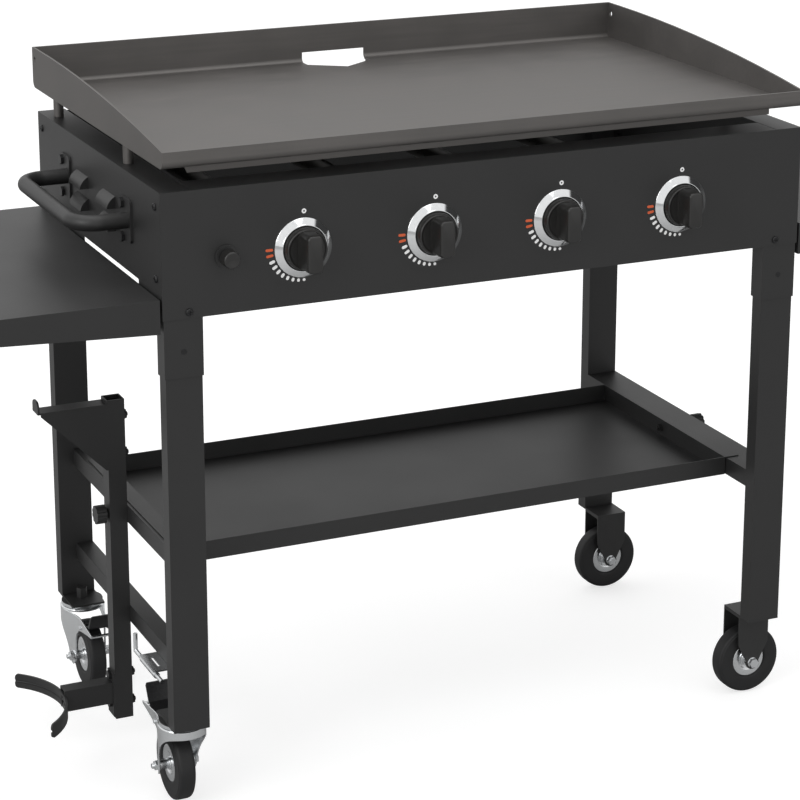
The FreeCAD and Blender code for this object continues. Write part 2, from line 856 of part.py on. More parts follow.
def knob(x):
    """A moulded knob: round skirt and an upright finger bar, bored at the rear for the valve stem."""
    rear = front - knob_rear_gap
    disc_front = rear - knob_disc_depth
    disc = rod_y(x, disc_front, rear, knob_z, knob_radius)
    half = knob_grip_width / 2
    tip = front - knob_stand_out
    rise = knob_grip_height / 2
    low_rise = math.sqrt(knob_radius ** 2 - (half + knob_grip_draft) ** 2)
    foot_half = half + knob_grip_draft
    foot_y = disc_front + 1
    top_rise = rise - 2 * knob_grip_draft
    foot = [(x - foot_half, foot_y, knob_z - low_rise), (x + foot_half, foot_y, knob_z - low_rise),
            (x + foot_half, foot_y, knob_z + low_rise), (x - foot_half, foot_y, knob_z + low_rise)]
    top = [(x - half, tip, knob_z - top_rise), (x + half, tip, knob_z - top_rise),
           (x + half, tip, knob_z + top_rise), (x - half, tip, knob_z + top_rise)]
    wires = [Part.makePolygon([FreeCAD.Vector(*p) for p in ring + ring[:1]]) for ring in (foot, top)]
    grip = Part.makeLoft(wires, True, True)
    bore = rod_y(x, stem_tip - knob_push_travel - 1.0, front, knob_z, stem_radius + running_gap)
    return fuse([disc, grip]).cut(bore)


def valve_stem(x):
    """The valve's turning part: the stem in the knob and the thicker plug inside the valve body."""
    rotor_front = front + sheet + valve_neck_length + rotor_setback
    stem = rod_y(x, stem_tip, rotor_front, knob_z, stem_radius)
    rotor = rod_y(x, rotor_front, rotor_front + rotor_length, knob_z, rotor_radius)
    return fuse([stem, rotor])


def valve_bodies():
    """Four brass valves: neck against the panel, block on the manifold and gas spud at the rear."""
    half = valve_width / 2
    neck_front = front + sheet
    block_front = neck_front + valve_neck_length
    rotor_front = block_front + rotor_setback
    bodies = []
    for x in knob_places():
        neck = rod_y(x, neck_front, block_front + 1, knob_z, valve_neck_radius)
        core = block(x - half, x + half, block_front, valve_rear, knob_z - half, knob_z + half)
        spud = rod_y(x, valve_rear - 1, valve_rear + spud_length, knob_z, spud_radius)
        chamber = rod_y(x, rotor_front - fit_gap, rotor_front + rotor_length + fit_gap, knob_z,
                        rotor_radius + running_gap)
        bore = rod_y(x, neck_front - 1, rotor_front, knob_z, stem_radius + running_gap)
        gas_way = rod_y(x, rotor_front + rotor_length - 1, valve_rear + spud_length + 1, knob_z, jet_radius)
        bodies.append(fuse([neck, core, spud]).cut(chamber).cut(bore).cut(gas_way))
    return group(bodies)


def gas_manifold():
    """The pipe under the valves, with a threaded inlet at its left end that points down."""
    half = valve_width / 2
    y = front + sheet + valve_neck_length + valve_length / 2
    z = knob_z - half - manifold_radius
    x0 = left + igniter_from_left + manifold_past_igniter
    x1 = knob_places()[-1] + manifold_past_knob
    pipe = rod_x(x0, x1, y, z, manifold_radius)
    inlet_x = x0 + 2 * manifold_wall + inlet_collar_radius
    inlet = rod_z(inlet_x, y, z - inlet_length, z, inlet_radius)
    collar = rod_z(inlet_x, y, z - inlet_length + inlet_thread, z, inlet_collar_radius)
    bore = rod_x(x0 + manifold_wall, x1 - manifold_wall, y, z, manifold_radius - manifold_wall)
    inlet_bore = rod_z(inlet_x, y, z - inlet_length - 1, z, inlet_radius - 2 * manifold_wall)
    seats = [block(x - half, x + half, y - half / 2, y + half / 2, z, z + manifold_radius)
             for x in knob_places()]
    return fuse([pipe, inlet, collar] + seats).cut(bore).cut(inlet_bore)


def burner_front():
    """Where each burner's neck slips over its valve's spud."""
    return valve_rear + burner_behind_valve


def burners():
    """Four tube burners from the valves to the rear panel, with ports along both sides."""
    tubes = []
    y0 = burner_front()
    y1 = y0 + burner_neck_length
    y2 = back - sheet - burner_collar_length
    for x in knob_places():
        neck = rod_y(x, y0, y1 + 1, knob_z, spud_radius + running_gap + burner_neck_wall)
        tube = rod_y(x, y1, y2, knob_z, burner_radius)
        tail = rod_y(x, y2 - 1, back + burner_tail_past, knob_z, burner_tail_radius)
        collar = rod_y(x, y2 - 1, back - sheet, knob_z, burner_collar_radius)
        burner = fuse([neck, tube, tail, collar])
        burner = burner.cut(rod_y(x, y0 - 1, y1 + 2, knob_z, spud_radius + running_gap))
        burner = burner.cut(rod_y(x, y1 + burner_wall, y2 - burner_wall, knob_z, burner_radius - burner_wall))
        ports = int((y2 - y1) / burner_port_pitch)
        for step in range(1, ports):
            y = y1 + step * burner_port_pitch
            reach = burner_radius + 1
            burner = burner.cut(rod_x(x - reach, x + reach, y, knob_z, burner_port_radius))
        tubes.append(burner)
    return group(tubes)


def igniter_electrodes():
    """Ceramic spark rods, one lying along the front of each burner tube."""
    rods = []
    y0 = burner_front() + burner_neck_length
    for x in knob_places():
        side = x + burner_radius + electrode_radius + fit_gap
        rods.append(rod_y(side, y0, y0 + electrode_length, knob_z, electrode_radius))
    return group(rods)


def igniter_body():
    """The igniter's barrel through the panel, with a flange in front and a nut behind."""
    x = left + igniter_from_left
    flange = rod_y(x, front - igniter_flange_depth, front, knob_z, igniter_flange_radius)
    barrel = rod_y(x, front, front + igniter_barrel_length, knob_z, igniter_barrel_radius)
    nut_start = FreeCAD.Vector(x, front + sheet, knob_z)
    nut = hexagon(nut_start, Y_AXIS, igniter_flange_radius, igniter_nut_thickness)
    bore_end = front + igniter_barrel_length - igniter_barrel_end
    bore = rod_y(x, front - igniter_flange_depth - 1, bore_end, knob_z, button_stem_radius + running_gap)
    return fuse([flange, barrel, nut]).cut(bore)


def igniter_button():
    """The push button: a deep round cap on a stem that slides in the barrel."""
    x = left + igniter_from_left
    tip = front - button_stand_out
    cap = rod_y(x, tip, tip + button_cap_depth, knob_z, button_radius)
    cap = cap.makeFillet(button_round, [edge for edge in cap.Edges if abs(edge.BoundBox.YMax - tip) < 0.01])
    cap_rear = tip + button_cap_depth
    stem = rod_y(x, cap_rear - 1, cap_rear + button_stem_length, knob_z, button_stem_radius)
    return fuse([cap, stem])


# Handle

def handle_bar():
    """A round bar bent into a flat U, welded to its two plates."""
    x_in = left - handle_plate_thickness
    x_out = left - handle_reach
    y0 = front + handle_front_y
    y1 = front + handle_rear_y
    radius = handle_bend_radius
    dip = radius * (1 - math.sqrt(0.5))
    z = handle_z
    edges = [
        Part.makeLine(FreeCAD.Vector(x_in, y0, z), FreeCAD.Vector(x_out + radius, y0, z)),
        Part.Arc(FreeCAD.Vector(x_out + radius, y0, z), FreeCAD.Vector(x_out + dip, y0 + dip, z),
                 FreeCAD.Vector(x_out, y0 + radius, z)).toShape(),
        Part.makeLine(FreeCAD.Vector(x_out, y0 + radius, z), FreeCAD.Vector(x_out, y1 - radius, z)),
        Part.Arc(FreeCAD.Vector(x_out, y1 - radius, z), FreeCAD.Vector(x_out + dip, y1 - dip, z),
                 FreeCAD.Vector(x_out + radius, y1, z)).toShape(),
        Part.makeLine(FreeCAD.Vector(x_out + radius, y1, z), FreeCAD.Vector(x_in, y1, z)),
    ]
    circle = Part.Wire(Part.makeCircle(handle_tube_radius, FreeCAD.Vector(x_in, y0, z), X_AXIS))
    return Part.Wire(edges).makePipeShell([circle], True, False)


def handle_brackets():
    """The two upright plates that carry the handle on the side panel."""
    plates = []
    bolts = handle_bolt_places()
    for y in (front + handle_front_y, front + handle_rear_y):
        y0 = y - handle_plate_width + handle_bolt_offset_y + handle_bolt_from_edge
        plate = block(left - handle_plate_thickness, left, y0, y0 + handle_plate_width,
                      handle_z - handle_plate_height / 2, handle_z + handle_plate_height / 2)
        edges = [edge for edge in plate.Edges if edge.BoundBox.XLength > handle_plate_thickness / 2]
        plate = plate.makeFillet(handle_plate_corner, edges)
        for bolt_y, z in bolts:
            plate = plate.cut(rod_x(left - 2 * handle_plate_thickness, left + 1, bolt_y, z, bolt_radius))
        plates.append(plate)
    return group(plates)


# Side shelves

def shelf_shell(outset):
    """The shelf's outside, or its inside with the sheet taken off, as one solid."""
    x1 = left - shelf_gap - outset
    x0 = x1 - shelf_reach + 2 * outset
    y0 = front + outset
    y1 = front + shelf_depth - outset
    low = shelf_skirt_past_inner if outset else 0.0
    outline = [(x0, y0, shelf_top - outset), (x1, y0, shelf_top - outset),
               (x1, y0, shelf_top - shelf_skirt_inner - low), (x0, y0, shelf_top - shelf_skirt_outer - low)]
    solid = prism(outline, (0, y1 - y0, 0))
    edges = [edge for edge in solid.Edges
             if abs(edge.BoundBox.XMax - x0) < 0.01 and edge.BoundBox.YLength < 0.01]
    return solid.makeFillet(shelf_corner_radius - outset, edges)


def left_side_shelf():
    """A folded shelf with skirts all round, hung on two headed studs in the side panel's keyholes."""
    shelf = shelf_shell(0.0).cut(shelf_shell(sheet))
    z = stud_z()
    studs = []
    for y in shelf_stud_places():
        studs.append(rod_x(left - shelf_gap - sheet, left - fit_gap, y, z, stud_head_radius))
        studs.append(rod_x(left - fit_gap - 1, left + sheet + fit_gap + 1, y, z, stud_neck_radius))
        inside = left + sheet + fit_gap
        studs.append(rod_x(inside, inside + stud_head_depth, y, z, stud_head_radius))
    return fuse([shelf] + studs)


# Legs and crossbars

def square_tube_y(x0, x1, y0, y1, z0, z1):
    """A rectangular tube along Y, open at both ends."""
    bore = block(x0 + tube_wall, x1 - tube_wall, y0 - 1, y1 + 1, z0 + tube_wall, z1 - tube_wall)
    return block(x0, x1, y0, y1, z0, z1).cut(bore)


def front_left_leg():
    """An upright rectangular tube with its pivot hole near the top."""
    x0 = leg_left
    x1 = leg_left + leg_width
    y0 = leg_front
    y1 = leg_front + leg_thickness
    bore = block(x0 + tube_wall, x1 - tube_wall, y0 + tube_wall, y1 - tube_wall, leg_bottom - 1, leg_top + 1)
    tube = block(x0, x1, y0, y1, leg_bottom, leg_top).cut(bore)
    return tube.cut(rod_y(pivot_places()[0], y0 - 1, y1 + 1, pivot_z, pivot_bolt_radius))


def left_crossbar(height):
    """A square tube between the left legs, flush with their inner faces."""
    x1 = leg_left + leg_width
    tube = square_tube_y(x1 - crossbar_size, x1, crossbar_front, crossbar_front + crossbar_length,
                         height, height + crossbar_size)
    if height == upper_crossbar_height:
        tube = tube.cut(tray_screw_hole())
    return tube


def right_crossbar():
    """A wide tube between the right legs."""
    tube = square_tube_y(leg_right - leg_width, leg_right, crossbar_front, crossbar_front + crossbar_length,
                         upper_crossbar_height, upper_crossbar_height + crossbar_size)
    return tube.cut(tray_screw_hole())


# Tray shelf

def tray_screw_hole():
    """The line of clearance holes for the two hand screws, right through the frame's width."""
    return rod_x(2 * left, 2 * right, post_middle_y, tray_screw_z, tray_screw_radius + fit_gap)


def bottom_shelf():
    """The tray: floor, four walls, a lip at each end over the crossbars and a welded nut at each end."""
    y0 = tray_front
    y1 = tray_front + tray_depth
    outer = block(tray_left, tray_right, y0, y1, tray_floor, tray_top + sheet)
    inner = block(tray_left + sheet, tray_right - sheet, y0 + sheet, y1 - sheet,
                  tray_floor + sheet, tray_top + 2 * sheet)
    tray = outer.cut(inner)
    lips = [block(tray_left - tray_lip, tray_left + sheet / 2, y0, y1, tray_top, tray_top + sheet),
            block(tray_right - sheet / 2, tray_right + tray_lip, y0, y1, tray_top, tray_top + sheet)]
    left_nut = hexagon(FreeCAD.Vector(tray_left + sheet, post_middle_y, tray_screw_z), X_AXIS,
                       tray_nut_radius, tray_nut_length)
    right_nut = hexagon(FreeCAD.Vector(tray_right - sheet, post_middle_y, tray_screw_z), X_AXIS * -1,
                        tray_nut_radius, tray_nut_length)
    hole = rod_x(2 * left, 2 * right, post_middle_y, tray_screw_z, tray_screw_radius + running_gap)
    return fuse([tray] + lips + [left_nut, right_nut]).cut(hole)


def hand_screw(head_face, tip, direction):
    """A fluted hand knob on a threaded shank; head_face is where its collar meets the frame."""
    y = post_middle_y
    z = tray_screw_z
    far = head_face - direction * (tray_knob_length + fit_gap + tray_collar_length)
    near = head_face - direction * (fit_gap + tray_collar_length)
    head = rod_x(min(near, far), max(near, far), y, z, tray_knob_radius)
    ring = tray_knob_radius + tray_knob_flute_radius * 0.4
    for step in range(tray_knob_flutes):
        angle = 2 * math.pi * step / tray_knob_flutes
        head = head.cut(rod_x(min(near, far) - 1, max(near, far) + 1, y + ring * math.cos(angle),
                              z + ring * math.sin(angle), tray_knob_flute_radius))
    collar_end = head_face - direction * fit_gap
    collar = rod_x(min(near, collar_end), max(near, collar_end), y, z, tray_collar_radius)
    shank = rod_x(min(near, tip), max(near, tip), y, z, tray_screw_radius)
    return fuse([head, collar, shank])


def left_hand_screw():
    """The left hand screw, through the carrier post, the crossbar and the tray's wall."""
    return hand_screw(post_left, tray_left + sheet + tray_nut_length + tray_screw_past_nut, 1)


def right_hand_screw():
    """The right hand screw, through the crossbar and the tray's wall."""
    return hand_screw(leg_right, tray_right - sheet - tray_nut_length - tray_screw_past_nut, -1)


# Gas bottle carrier

def carrier_bolt_heights():
    """The heights of the bolts through the post: two for the hook and two for the cradle."""
    hook_bolts = (post_top - hook_bolt_drop, post_top - hook_bolt_drop - hook_bolt_spread)
    return hook_bolts + (cradle_bottom + cradle_height + cradle_bolt_gap, cradle_bottom - cradle_bolt_drop)


def tank_post():
    """An upright square tube, open at both ends, against the left crossbars."""
    x0, x1 = post_left, post_right
    y0, y1 = post_front, post_front + post_size
    bore = block(x0 + tube_wall, x1 - tube_wall, y0 + tube_wall, y1 - tube_wall,
                 post_bottom - 1, post_top + 1)
    post = block(x0, x1, y0, y1, post_bottom, post_top).cut(bore).cut(tray_screw_hole())
    for z in carrier_bolt_heights():
        post = post.cut(rod_x(x0 - 1, x1 + 1, post_middle_y, z, bolt_radius))
    return post


def tank_hook():
    """A folded hook: top flange with an upturned lip, a triangular web in front and a plate on the post."""
    x1 = post_left
    x0 = x1 - hook_reach
    y0 = post_front
    y1 = post_front + post_size
    top = post_top - hook_below_post_top
    low = top - hook_plate_drop
    flange = block(x0, x1, y0, y1, top - hook_sheet, top)
    nose = x0 + hook_web_inset
    web = prism([(nose, y0, top), (nose, y0, top - hook_web_nose), (x1 - hook_sheet, y0, low), (x1, y0, low),
                 (x1, y0, top)], (0, hook_sheet, 0))
    plate = block(x1 - hook_sheet, x1, y0, y1, low, top)
    lip = block(x0 - hook_sheet, x0, y0, y1, top - hook_sheet, top + hook_lip_height)
    edges = [edge for edge in lip.Edges if edge.BoundBox.XLength > hook_sheet / 2
             and edge.BoundBox.ZMin > top + hook_lip_height - 0.01]
    lip = lip.makeFillet(hook_lip_round, edges)
    hook = fuse([flange, web, plate, lip])
    for z in carrier_bolt_heights()[:2]:
        hook = hook.cut(rod_x(x1 - 2 * hook_sheet, x1 + 1, post_middle_y, z, bolt_radius))
    return hook


def strip_corner(centre, upper, end):
    """What is cut off one corner of the curved strip to round it; upper and end are -1 or 1."""
    r = cradle_strip_corner
    inside = cradle_radius - 2 * cradle_sheet
    outside = cradle_radius + cradle_sheet
    edge_z = centre.z + (cradle_strip_height if upper > 0 else 0.0)
    y0, y1 = sorted((centre.y - end * r, centre.y + end))
    z0, z1 = sorted((edge_z - upper * r, edge_z + upper))
    corner = block(centre.x + inside, centre.x + outside, y0, y1, z0, z1)
    corner = corner.cut(rod_x(centre.x + inside - 1, centre.x + outside + 1,
                              centre.y - end * r, edge_z - upper * r, r))
    corner.rotate(centre, Z_AXIS, end * cradle_sweep / 2)
    return corner


def cradle_strip(centre):
    """The curved strip: a part of a ring with rounded corners, grooved along its inner face."""
    inside = cradle_radius - cradle_sheet
    ring = Part.makeCylinder(cradle_radius, cradle_strip_height, centre, Z_AXIS, cradle_sweep)
    ring.rotate(centre, Z_AXIS, -cradle_sweep / 2)
    ring = ring.cut(Part.makeCylinder(inside, 3 * cradle_strip_height, centre - Z_AXIS * cradle_strip_height))
    for upper in (-1, 1):
        for end in (-1, 1):
            ring = ring.cut(strip_corner(centre, upper, end))
    middle = centre + Z_AXIS * (cradle_strip_height / 2)
    return ring.cut(Part.makeTorus(inside, cradle_groove_radius, middle, Z_AXIS))


def tank_cradle():
    """A channel arm from the post and, welded across its end, a strip curved to the bottle's side."""
    x1 = post_left
    y = post_middle_y
    half = post_size / 2
    plate_low = cradle_bottom - cradle_plate_drop
    plate = block(x1 - cradle_sheet, x1, y - half, y + half, plate_low, plate_low + cradle_plate_height)
    tip = x1 - cradle_arm_reach
    arm_half = cradle_arm_width / 2
    arm_top = cradle_bottom + cradle_height
    arm = block(tip - 2 * cradle_sheet, x1, y - arm_half, y + arm_half, cradle_bottom, arm_top)
    arm = arm.cut(block(tip - 3 * cradle_sheet, x1 - cradle_sheet, y - arm_half + cradle_arm_sheet,
                        y + arm_half - cradle_arm_sheet, cradle_bottom - 1, arm_top - cradle_arm_sheet))
    centre = FreeCAD.Vector(tip - cradle_radius, y, cradle_bottom + cradle_strip_rise)
    inside = cradle_radius - cradle_sheet / 2
    arm = arm.cut(Part.makeCylinder(inside, 3 * cradle_height, centre - Z_AXIS * cradle_height))
    slot_low = centre.z + (cradle_strip_height - cradle_slot_height) / 2
    slot = block(tip - 2 * cradle_sheet, tip + cradle_sheet, y - cradle_slot_width / 2,
                 y + cradle_slot_width / 2, slot_low, slot_low + cradle_slot_height)
    cradle = fuse([plate, arm, cradle_strip(centre)]).cut(slot)
    for z in carrier_bolt_heights()[2:]:
        cradle = cradle.cut(rod_x(x1 - 2 * cradle_sheet, x1 + 1, y, z, bolt_radius))
    return cradle


def frame_bolts():
    """The leg pivots, flush in front with a nut behind the leg, and the four carrier post bolts."""
    bolts = []
    x = pivot_places()[0]
    grip = bracket_sheet + leg_clearance + leg_thickness
    nut_front = bracket_front + grip
    pin = rod_y(x, bracket_front, nut_front + hex_height + thread_past_nut, pivot_z, pivot_bolt_radius)
    pivot = fuse([pin, hexagon(FreeCAD.Vector(x, nut_front, pivot_z), Y_AXIS, hex_radius, hex_height)])
    bolts += [pivot, mirror_left_right(pivot)]
    bolts += [mirror_front_back(pivot), mirror_left_right(mirror_front_back(pivot))]
    sheets = (hook_sheet, hook_sheet, cradle_sheet, cradle_sheet)
    for z, thickness in zip(carrier_bolt_heights(), sheets):
        start = FreeCAD.Vector(post_left - thickness, post_middle_y, z)
        bolts.append(bolt(start, X_AXIS, bolt_radius, thickness + post_size,
                          bolt_head_radius, bolt_head_height))
    return group(bolts)


# Latch

def latch_places():
    """The latch rod's axis: X and Z."""
    plate_low = lower_crossbar_height - latch_plate_thickness
    return leg_left + latch_sleeve_radius, plate_low - latch_sleeve_radius


def latch_plate():
    """A slotted plate welded under the lower crossbar, with a sleeve along its outer edge."""
    y0 = front + latch_plate_front_y
    y1 = y0 + latch_plate_length
    z1 = lower_crossbar_height
    x0 = leg_left
    x, z = latch_places()
    plate = block(x0, leg_left + leg_width, y0, y1, z1 - latch_plate_thickness, z1)
    slot_left = x0 + latch_slot_inset
    slot = block(slot_left, slot_left + latch_slot_width, y0 + latch_slot_margin, y1 - latch_slot_margin,
                 z1 - 2 * latch_plate_thickness, z1 + 1)
    sleeve = rod_y(x, y0, y1, z, latch_sleeve_radius)
    saddle = block(x - latch_saddle_width / 2, x + latch_saddle_width / 2, y0, y1,
                   z, z1 - latch_plate_thickness / 2)
    bore = rod_y(x, y0 - 1, y1 + 1, z, latch_rod_radius + running_gap)
    return fuse([plate, saddle, sleeve]).cut(slot).cut(bore)


def latch_rod():
    """The rod in the sleeve, with its rear end bent up as a finger hold."""
    x, z = latch_places()
    y0 = front + latch_rod_front_y
    y1 = y0 + latch_rod_length
    rod = rod_y(x, y0, y1, z, latch_rod_radius)
    finger = rod_z(x, y1, z, z + latch_rod_rise, latch_rod_radius)
    knuckle = Part.makeSphere(latch_rod_radius, FreeCAD.Vector(x, y1, z))
    return fuse([rod, knuckle, finger])


# Wheels

def tyre(centre, axis):
    """A solid tyre with round shoulders."""
    start = centre - axis * (wheel_width / 2)
    ring = Part.makeCylinder(wheel_radius, wheel_width, start, axis)
    edges = [edge for edge in ring.Edges if edge.Closed and edge.Length > wheel_radius]
    ring = ring.makeFillet(tyre_shoulder, edges)
    return ring.cut(Part.makeCylinder(rim_radius, wheel_width + 2, start - axis, axis))


def rim(centre, axis):
    """A pressed wheel disc with a recessed face on both sides and a hub bored for the axle."""
    inner_width = wheel_width - 2 * rim_setback
    start = centre - axis * (inner_width / 2)
    drum = Part.makeCylinder(rim_radius, inner_width, start, axis)
    ring = Part.makeCylinder(rim_recess_radius, rim_recess_depth, start, axis)
    far_start = start + axis * (inner_width - rim_recess_depth)
    far = Part.makeCylinder(rim_recess_radius, rim_recess_depth, far_start, axis)
    hub_start = centre - axis * (wheel_width / 2)
    hub = Part.makeCylinder(hub_radius, wheel_width, hub_start, axis)
    bore = Part.makeCylinder(axle_radius + axle_gap, wheel_width + 2, hub_start - axis, axis)
    return fuse([drum.cut(ring).cut(far), hub]).cut(bore)


def fixed_wheel_y():
    """The middle of the fixed front wheel: its fork stands just inside the front leg."""
    return leg_front + leg_thickness + fixed_fork_from_leg + fixed_fork_width / 2


def fixed_wheel_centre():
    """The centre of the front right wheel."""
    return FreeCAD.Vector(leg_right - leg_width / 2, fixed_wheel_y(), wheel_radius)


def fixed_fork():
    """The front right fork: plate under the leg, two tapered cheeks, and the axle with its sleeves."""
    centre = fixed_wheel_centre()
    x0 = leg_right - leg_width
    x1 = leg_right
    y0 = centre.y - fixed_fork_width / 2
    y1 = centre.y + fixed_fork_width / 2
    plate = block(x0, x1, leg_front, y1, mount_z, leg_bottom)
    crown = block(x0, x1, y0, y1, mount_z - fork_sheet, mount_z + 0.5)
    cheeks = []
    reach = fixed_fork_end_radius
    taper_z = mount_z - fixed_fork_taper_drop
    foot_z = wheel_radius + reach / 4
    for y in (y0, y1 - fork_sheet):
        outline = [(x0, y, mount_z), (x0, y, taper_z), (centre.x - reach * 0.97, y, foot_z),
                   (centre.x + reach * 0.97, y, foot_z), (x1, y, taper_z), (x1, y, mount_z)]
        cheeks.append(prism(outline, (0, fork_sheet, 0)))
        cheeks.append(rod_y(centre.x, y, y + fork_sheet, wheel_radius, reach))
    head_start = FreeCAD.Vector(centre.x, y0 - hex_height, wheel_radius)
    head = hexagon(head_start, Y_AXIS, axle_hex_radius, hex_height)
    nut = hexagon(FreeCAD.Vector(centre.x, y1, wheel_radius), Y_AXIS, axle_hex_radius, hex_height)
    axle = rod_y(centre.x, y0 - 1, y1 + hex_height + thread_past_nut, wheel_radius, axle_radius)
    side_gap = wheel_width / 2 + fit_gap
    sleeves = [rod_y(centre.x, y0 + 1, centre.y - side_gap, wheel_radius, axle_sleeve_radius),
               rod_y(centre.x, centre.y + side_gap, y1 - 1, wheel_radius, axle_sleeve_radius)]
    return fuse([plate, crown] + cheeks + [head, nut, axle] + sleeves)


def fixed_forks():
    """Both fixed forks on the right side."""
    front_fork = fixed_fork()
    return group([front_fork, mirror_front_back(front_fork)])


def swivel_axis():
    """The front left caster's swivel axis: X and Y."""
    return leg_left + leg_width / 2, leg_front + leg_thickness + caster_swivel_from_leg


def caster_plates():
    """The mounting plates under the left legs, each with its upper raceway, kingpin and nut."""
    x, y = swivel_axis()
    plate = block(leg_left, leg_left + leg_width, leg_front, y + raceway_radius + caster_plate_past_race,
                  mount_z, leg_bottom)
    race = rod_z(x, y, mount_z - raceway_height, mount_z + 0.5, raceway_radius)
    nut = hexagon(FreeCAD.Vector(x, y, leg_bottom), Z_AXIS, stem_nut_radius, stem_nut_height)
    low = mount_z - raceway_height - raceway_gap - caster_dome_height - kingpin_past_dome
    pin = rod_z(x, y, low, leg_bottom + 1, kingpin_radius)
    front_one = fuse([plate, race, nut, pin])
    return group([front_one, mirror_front_back(front_one)])


def caster_yoke(x, y, dome_low):
    """The curved walls that join the front fork's cheeks at its leading side, open for the tyre."""
    half = caster_fork_width / 2
    middle_y = y - yoke_setback
    wall = rod_z(x, middle_y, yoke_low, dome_low + 1, half)
    wall = wall.cut(rod_z(x, middle_y, yoke_low - 1, dome_low + 2, half - fork_sheet))
    wall = wall.cut(block(x - half - 1, x + half + 1, middle_y, y + half, yoke_low - 1, dome_low + 2))
    crest = wheel_radius * 2 + fork_sheet
    nose = y - yoke_setback - half - 1
    top_y = middle_y - math.sqrt(half ** 2 - (yoke_opening / 2) ** 2)
    opening = prism([(x - half - 1, nose, yoke_low - 1), (x - half - 1, nose, crest),
                     (x - half - 1, top_y, crest), (x - half - 1, middle_y, yoke_low - 1)],
                    (2 * half + 2, 0, 0))
    return wall.cut(opening)


def caster_fork():
    """The front caster's swivelling fork: dome, curved walls, two long-tailed cheeks, pin and axle."""
    x, y = swivel_axis()
    dome_top = mount_z - raceway_height - raceway_gap
    dome_low = dome_top - caster_dome_height
    half = caster_fork_width / 2
    dome = rod_z(x, y, dome_low, dome_top, raceway_radius + caster_dome_overhang)
    axle_y = y + caster_trail
    end = caster_fork_end_radius
    outline = [(-yoke_setback, dome_top - 1), (raceway_radius, dome_top - 1),
               (tail_reach, tail_height + fork_sheet), (tail_reach + fork_sheet, tail_height - fork_sheet),
               (pedal_pivot_reach + end, pedal_pivot_height - end), (caster_trail + end * 0.95, wheel_radius),
               (caster_trail, wheel_radius - end * 0.95), (-yoke_setback, yoke_low)]
    parts = [dome, caster_yoke(x, y, dome_low)]
    for side in (x - half, x + half - fork_sheet):
        parts.append(prism([(side, y + run, z) for run, z in outline], (fork_sheet, 0, 0)))
        parts.append(rod_x(side, side + fork_sheet, axle_y, wheel_radius, end))
    web = block(x - half, x + half, y + tail_reach - tail_web_length, y + tail_reach,
                tail_height - fork_sheet, tail_height)
    pin = rod_x(x - half - thread_past_nut, x + half + thread_past_nut, y + pedal_pivot_reach,
                pedal_pivot_height, pedal_pin_radius)
    axle = rod_x(x - half - hex_height - caster_axle_tail, x + half + hex_height,
                 axle_y, wheel_radius, axle_radius)
    head = hexagon(FreeCAD.Vector(x - half, axle_y, wheel_radius), X_AXIS * -1, axle_hex_radius, hex_height)
    nut = hexagon(FreeCAD.Vector(x + half, axle_y, wheel_radius), X_AXIS, axle_hex_radius, hex_height)
    side_gap = wheel_width / 2 + fit_gap
    sleeves = [rod_x(x - half + 1, x - side_gap, axle_y, wheel_radius, axle_sleeve_radius),
               rod_x(x + side_gap, x + half - 1, axle_y, wheel_radius, axle_sleeve_radius)]
    fork = fuse(parts + [web, pin, axle, head, nut] + sleeves)
    bore = rod_z(x, y, dome_low - 3.0, dome_top + 1, kingpin_radius + running_gap)
    return fork.cut(bore)


def brake_pedal():
    """The front caster's foot pedal: a hub on the fork's pin, a rising neck and a steeper slotted tread."""
    x, y = swivel_axis()
    pivot_y = y + pedal_pivot_reach
    half = caster_fork_width / 2 - fork_sheet - fit_gap
    low = x - half
    hub = rod_x(low, x + half, pivot_y, pedal_pivot_height, pedal_hub_radius)
    fold_y = y + pedal_fold_reach
    tip_y = y + pedal_tip_reach
    sheet_line = [(low, pivot_y, pedal_pivot_height), (low, fold_y, pedal_fold_height),
                  (low, tip_y, pedal_top_height), (low, tip_y + pedal_sheet, pedal_top_height),
                  (low, fold_y + pedal_sheet, pedal_fold_height - pedal_sheet / 2),
                  (low, pivot_y, pedal_pivot_height - pedal_sheet)]
    tread = prism(sheet_line, (2 * half, 0, 0))
    slot_top = pedal_top_height - pedal_slot_below_top
    slot = block(low + pedal_slot_margin, x + half - pedal_slot_margin, fold_y, tip_y + pedal_sheet,
                 slot_top - pedal_slot_height, slot_top)
    bore = rod_x(low - 1, x + half + 1, pivot_y, pedal_pivot_height, pedal_pin_radius + running_gap)
    return fuse([hub, tread]).cut(slot).cut(bore)


